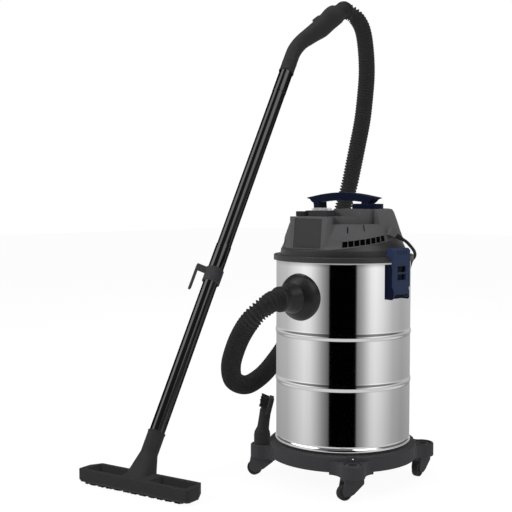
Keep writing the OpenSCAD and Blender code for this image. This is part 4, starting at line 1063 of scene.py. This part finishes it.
@dataclass
class Grip:
    """Bent hand grip: one smooth tube that swells towards the hose."""

    start: float = 998.2
    bend: float = 1088.0
    end: float = 146.0
    bore: float = 15.0
    pull: float = 34.0
    above: Tuple[Tuple[float, float], ...] = (
        (0.0, 19.2), (60.0, 19.2), (120.0, 20.4), (160.0, 22.4), (192.0, 26.0), (216.0, 30.6), (229.0, 30.4),
        (236.0, 28.0))
    below: Tuple[Tuple[float, float], ...] = (
        (0.0, 19.2), (60.0, 19.2), (105.0, 20.6), (150.0, 25.4), (170.0, 28.8), (178.0, 28.8), (200.0, 26.4),
        (226.0, 25.4), (236.0, 25.0))
    slider_s: float = 98.0
    slider_turn: float = 221.0

    def line(self) -> Array:
        """Centreline: straight, round the bend, straight."""
        corner = np.array([0.0, 0.0, 0.0])
        a = place(Placement.wand(self.start), corner)
        b = place(Placement.wand(self.bend), corner)
        c = place(Placement.grip(self.end), corner)
        p, q = (b + (e - b) / np.linalg.norm(e - b) * self.pull for e in (a, c))
        u = np.linspace(0.0, 1.0, 24)[:, None]
        arc = (1 - u) ** 2 * p + 2 * u * (1 - u) * b + u ** 2 * q
        head = np.linspace(a, p, 12)[:-1]
        tail = np.linspace(q, c, 30)[1:]
        return np.concatenate([head, arc, tail])

    def eased(self, run: Array, marks: Sequence[Tuple[float, float]]) -> Array:
        """Radius along the line from its marks, with rounded steps and a rounded end."""
        table = np.asarray(marks)
        radius = np.interp(run, table[:, 0] * run[-1] / 236.0, table[:, 1])
        radius = np.convolve(np.pad(radius, 2, mode="edge"), np.ones(5) / 5.0, "valid")
        radius[-2:] -= (0.4, 1.6)
        return radius

    def build(self) -> None:
        """Outer skin and bore as one loop, with the slider's pocket cut out."""
        line = self.line()
        run = np.concatenate([[0.0], np.cumsum(np.linalg.norm(np.diff(line, axis=0), axis=1))])
        side, up = carried_frames(line)
        a = np.linspace(0.0, TAU, 72, endpoint=False)
        inner = np.where(run > run[-1] - 34.0, 22.7, self.bore)
        ring = np.cos(a)[None, :, None] * side[:, None] + np.sin(a)[None, :, None] * up[:, None]
        high, low = (self.eased(run, marks) for marks in (self.above, self.below))
        share = 0.5 + 0.5 * ring[:, :, 2] / np.abs(ring[:, :, 2]).max(axis=1)[:, None]
        outer = low[:, None] + (high - low)[:, None] * share
        skin = line[:, None] + outer[:, :, None] * ring
        bore = line[:, None] + inner[:, None, None] * ring
        shell = grid_piece("shell", np.concatenate([skin, bore[::-1]]), loop=True)
        pocket = prism_piece("pocket", [(18.0, -7.0), (38.0, -7.0), (38.0, 7.0), (18.0, 7.0)], -20.0, 20.0,
                             Placement.grip(self.slider_s) @ turn("z", self.slider_turn))
        cut_out(shell, pocket)
        parts = [shell]
        for s, wide, tall in ((999.0, 0.8, 3.0), (1028.0, 0.5, 1.6)):
            collar = [(18.6, 0.0), (19.0 + wide, 0.0), (19.2 + wide, 0.5), (19.2 + wide, tall - 0.5),
                      (19.0 + wide, tall), (18.6, tall)]
            parts.append(lathe_piece("collar", collar, Placement.wand(s), 72))
        piece = joined("hand_grip", parts)
        bpy.data.objects.remove(pocket)
        Finishes.black.dress(piece)
        piece.visible_glossy = False
        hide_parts("wand_grip")
        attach(piece, Body.BASE.value)


def melted_copy(node: str, voxel: float, passes: int) -> bpy.types.Object:
    """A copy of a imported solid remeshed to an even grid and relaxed.

    All its edges come out rounded, inner corners too, as in a moulded part.

    Args:
        node: name of the solid.
        voxel: size of the grid in millimetres.
        passes: rounds of smoothing.

    Returns:
        The copy, which stands for the solid.
    """
    source = frame["nodes"][node]
    shape = bmesh.new()
    shape.from_mesh(source.data)
    bmesh.ops.remove_doubles(shape, verts=shape.verts, dist=1e-5)
    mesh = bpy.data.meshes.new(node + "_rough")
    shape.to_mesh(mesh)
    shape.free()
    rough = bpy.data.objects.new(node + "_rough", mesh)
    bpy.context.scene.collection.objects.link(rough)
    piece = melted("soft_" + node, [rough], voxel, passes)
    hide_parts(node)
    return piece


def melted(name: str, parts: Sequence[bpy.types.Object], voxel: float, passes: int) -> bpy.types.Object:
    """Fuses closed pieces on an even grid and relaxes the result.

    Args:
        name: name of the outcome.
        parts: closed pieces, which may run into each other.
        voxel: size of the grid in millimetres.
        passes: rounds of smoothing.

    Returns:
        One object.
    """
    rough = joined(name + "_rough", parts) if len(parts) > 1 else parts[0]
    remesh = rough.modifiers.new("grid", "REMESH")
    remesh.mode = "VOXEL"
    remesh.voxel_size = voxel * MM
    relax = rough.modifiers.new("relax", "SMOOTH")
    relax.factor = 0.5
    relax.iterations = passes
    return joined(name, [rough])


def tuft_piece(name: str, roots: Array, tips: Array, thick: Tuple[float, float], sides: int = 6) -> bpy.types.Object:
    """Many bristle tufts: tapered prisms from roots to tips.

    Args:
        name: name of the piece.
        roots: array (n, 3).
        tips: array (n, 3).
        thick: radius at the root and at the tip.
        sides: corners of a tuft.

    Returns:
        The new object.
    """
    axis = tips - roots
    axis /= np.linalg.norm(axis, axis=1)[:, None]
    side = np.cross(axis, np.where(np.abs(axis[:, 2:3]) < 0.8, (0.0, 0.0, 1.0), (1.0, 0.0, 0.0)))
    side /= np.linalg.norm(side, axis=1)[:, None]
    up = np.cross(axis, side)
    a = np.linspace(0.0, TAU, sides, endpoint=False)
    ring = np.cos(a)[None, :, None] * side[:, None] + np.sin(a)[None, :, None] * up[:, None]
    u = np.array([0.0, 0.6, 1.0])
    r = thick[0] + (thick[1] - thick[0]) * u
    grid = (roots[:, None, None] + u[None, :, None, None] * (tips - roots)[:, None, None]
            + r[None, :, None, None] * ring[:, None])
    one = grid_faces(3, sides)
    first = (np.arange(len(roots)) * 3 * sides)[:, None, None]
    faces: List[Sequence[int]] = (one[None] + first).reshape(-1, 4).tolist()
    cap = np.arange(sides)
    faces += (cap[::-1][None] + first[:, :, 0]).tolist() + (cap[None] + 2 * sides + first[:, :, 0]).tolist()
    return add_mesh(name, grid.reshape(-1, 3), faces, smooth=False)


@dataclass
class FloorNozzle:
    """Wide floor nozzle: body with two troughs, a sole and two bristle strips."""

    length: float = 305.0
    depth: float = 65.0
    forward: Tuple[float, float] = (15.0, -24.0)
    margin: float = 18.0
    inset: float = 8.0
    pitch: float = 2.7
    root_z: float = 7.5
    voxel: float = 1.3
    passes: int = 3

    def build(self) -> None:
        """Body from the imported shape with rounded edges, and the bristles."""
        body = melted_copy("nozzle_body", self.voxel, self.passes)
        Finishes.black.dress(body)
        body.visible_glossy = False
        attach(body, Body.BASE.value)
        rng = np.random.default_rng(5)
        roots: List[Array] = []
        for s in (-1.0, 1.0):
            x = np.arange(-self.length / 2 + self.margin, self.length / 2 - self.margin, self.pitch)
            y = s * (self.depth / 2 - self.inset)
            roots.append(np.stack([x, np.full_like(x, y), np.full_like(x, self.root_z)], axis=-1))
        root = np.concatenate(roots) + np.array([*self.forward, 0.0])
        tip = root + rng.normal(0.0, 0.5, root.shape)
        tip[:, 2] = 0.3 + np.abs(rng.normal(0.0, 0.5, len(root))) + 1.6 * (np.sin(root[:, 0] * 0.27) > 0.55)
        bristles = tuft_piece("nozzle_bristles", place(Placement.nozzle, root), place(Placement.nozzle, tip),
                              (1.4, 1.9))
        Finishes.bristle.dress(bristles)
        bristles.visible_glossy = False
        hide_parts("nozzle_brushes")
        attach(bristles, Body.BASE.value)


@dataclass
class BrushTool:
    """Dusting brush that stands on the dolly's rear left post."""

    lobe: float = -135.0
    spin: float = 178.0
    foot: float = 60.6
    lean: float = 8.0

    def matrix(self) -> Array:
        """Frame of the tool, local Z along its socket."""
        return turn("z", self.lobe) @ shift(182.0, 0.0, self.foot) @ turn("z", self.spin)

    def build(self) -> None:
        """Socket, neck and plate in one, with rows of tufts on the plate."""
        here = self.matrix()
        neck = here @ shift(0.0, 0.0, 36.0) @ turn("y", self.lean)
        head = neck @ shift(0.0, 0.0, 52.0) @ turn("y", 14.0 - self.lean)
        socket = [(0.0, 31.0), (15.8, 31.0), (15.8, 0.0), (18.5, 0.0), (18.5, 34.0), (17.4, 41.0), (13.0, 50.0),
                  (0.0, 50.0)]
        stem = [(0.0, 0.0), (15.5, 0.0), (14.2, 10.0), (13.2, 20.0), (12.8, 36.0), (12.8, 56.0), (0.0, 56.0)]
        parts = [lathe_piece("socket", socket, here, 64, closed=False),
                 lathe_piece("stem", stem, neck, 64, closed=False),
                 prism_piece("root", [(-11.0, -17.0), (9.0, -19.0), (9.0, 19.0), (-11.0, 17.0)], -2.0, 11.0, head),
                 prism_piece("plate", [(2.0, -20.0), (5.0, -22.0), (12.0, -20.0), (12.0, 20.0), (5.0, 22.0),
                                       (2.0, 20.0)], -3.0, 34.0, head)]
        body = melted("brush_body", parts, 0.9, 4)
        Finishes.black.dress(body)
        body.visible_glossy = False
        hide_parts("brush_tool")
        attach(body, Body.BRUSH.value)
        rng = np.random.default_rng(9)
        y, z = np.meshgrid(np.linspace(-17.5, 17.5, 12), np.linspace(12.0, 31.0, 7))
        root = np.stack([np.full(y.size, 1.0), y.ravel() + 0.8 * (np.arange(y.size) // 12 % 2), z.ravel()], axis=-1)
        tip = root * (1.0, 1.08, 1.06) + rng.normal(0.0, 0.5, root.shape)
        tip[:, 0] = -15.5 + rng.normal(0.0, 0.8, len(root))
        tufts = tuft_piece("brush_tufts", place(head, root), place(head, tip), (1.3, 1.75))
        Finishes.bristle.dress(tufts)
        tufts.visible_glossy = False
        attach(tufts, Body.BRUSH.value)


# ------------------------------------------------------------ moulded pieces


@dataclass(frozen=True)
class Moulding:
    """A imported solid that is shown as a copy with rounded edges."""

    node: str
    finish: Finish
    width: float = 0.8
    segments: int = 3
    angle: float = 32.0
    mirrored: bool = False

    def build(self) -> None:
        """Copies the solid, rounds it, and lets it ride where the solid does."""
        piece = moulded_copy(self.node, self.width, self.segments, self.angle)
        self.finish.dress(piece)
        piece.visible_glossy = self.mirrored
        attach(piece, frame["nodes"][self.node]["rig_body"])


class Mouldings:
    """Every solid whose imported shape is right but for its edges."""

    table: Tuple[Moulding, ...] = (
        Moulding("dolly", Finishes.dolly, 1.6, 4, 30.0),
        Moulding("inlet_flange", Finishes.dome, 1.0),
        Moulding("inlet_nut", Finishes.black, 0.8),
        Moulding("inlet_deflector", Finishes.black, 0.5),
        Moulding("hose_cuff_tank", Finishes.dome, 0.8),
        Moulding("hose_cuff_grip", Finishes.black, 0.8),
        # The latch brackets and the carry handle wear the navy made darker as painted shade.
        Moulding("latch_bracket_right", Finishes.navy_shaded, 0.8),
        Moulding("latch_bracket_left", Finishes.navy_shaded, 0.8),
        Moulding("latch_lever_right", Finishes.navy, 1.2),
        Moulding("latch_lever_left", Finishes.navy, 1.2),
        Moulding("lid", Finishes.lid, 1.0, mirrored=True),
        Moulding("motor_cover", Finishes.head, 2.6, 5, mirrored=True),
        Moulding("front_panel", Finishes.panel, 0.5),
        Moulding("carry_handle", Finishes.navy_shaded, 2.8, 5),
        Moulding("switch_housing", Finishes.dolly, 1.0),
        Moulding("switch_rocker", Finishes.red, 0.6),
        Moulding("switch_cap", Finishes.clear, 0.5),
        Moulding("terminal_cap", Finishes.black, 0.8),
        Moulding("nozzle_sole", Finishes.dolly, 0.6),
        Moulding("parking_hook", Finishes.dolly, 0.8),
        Moulding("suction_slider", Finishes.dolly, 0.5),
        Moulding("cord_gland", Finishes.sheath, 0.5),
        Moulding("cord_tie", Finishes.dolly, 0.4),
        Moulding("plug", Finishes.sheath, 0.8),
        Moulding("caster_front_right", Finishes.dolly, 0.6),
        Moulding("caster_rear_right", Finishes.dolly, 0.6),
        Moulding("caster_rear_left", Finishes.dolly, 0.6),
        Moulding("caster_front_left", Finishes.dolly, 0.6),
        Moulding("tank_floor", Finishes.steel, 0.4),
    )

    @classmethod
    def build(cls) -> None:
        """Builds each."""
        for item in cls.table:
            if item.node not in frame["nodes"]:
                LOG.warning("no solid %s", item.node)
                continue
            item.build()


# ------------------------------------------------------------- carried parts


class Carried:
    """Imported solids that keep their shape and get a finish."""

    plain: Dict[str, Finish] = {
        "dolly_screws": Finishes.black, "latch_pins": Finishes.navy_shaded, "latch_rivets": Finishes.navy_shaded,
        "handle_screws": Finishes.zinc, "head_screws": Finishes.zinc, "motor_bearings": Finishes.zinc,
        "motor_mount": Finishes.dolly, "fan_housing": Finishes.cast, "fan": Finishes.cast,
        "motor_stator": Finishes.lamination, "motor_rotor": Finishes.copper, "filter_cage": Finishes.black,
        "filter_cartridge": Finishes.paper, "filter_clamp": Finishes.navy, "float_ball": Finishes.orange,
        "lid_seal": Finishes.sheath, "vent_screens": Finishes.screen,
    }

    @classmethod
    def build(cls) -> None:
        """Gives every solid still shown its finish."""
        for name, node in frame["nodes"].items():
            if node.hide_render:
                continue
            finish = cls.plain.get(name, Finishes.black)
            node.visible_glossy = False
            node.data.materials.clear()
            node.data.materials.append(finish.material())


def main() -> None:
    """Builds the studio and every sub-assembly."""
    logging.basicConfig(level=logging.INFO)
    for part in (Studio(), Mouldings(), Hose(), PowerCord(), Drum(), Wheels(), Tubes(), Grip(), FloorNozzle(),
                 BrushTool(), Carried()):
        part.build()
        LOG.info("%s is built", type(part).__name__)


if __name__ == "__main__":
    main()
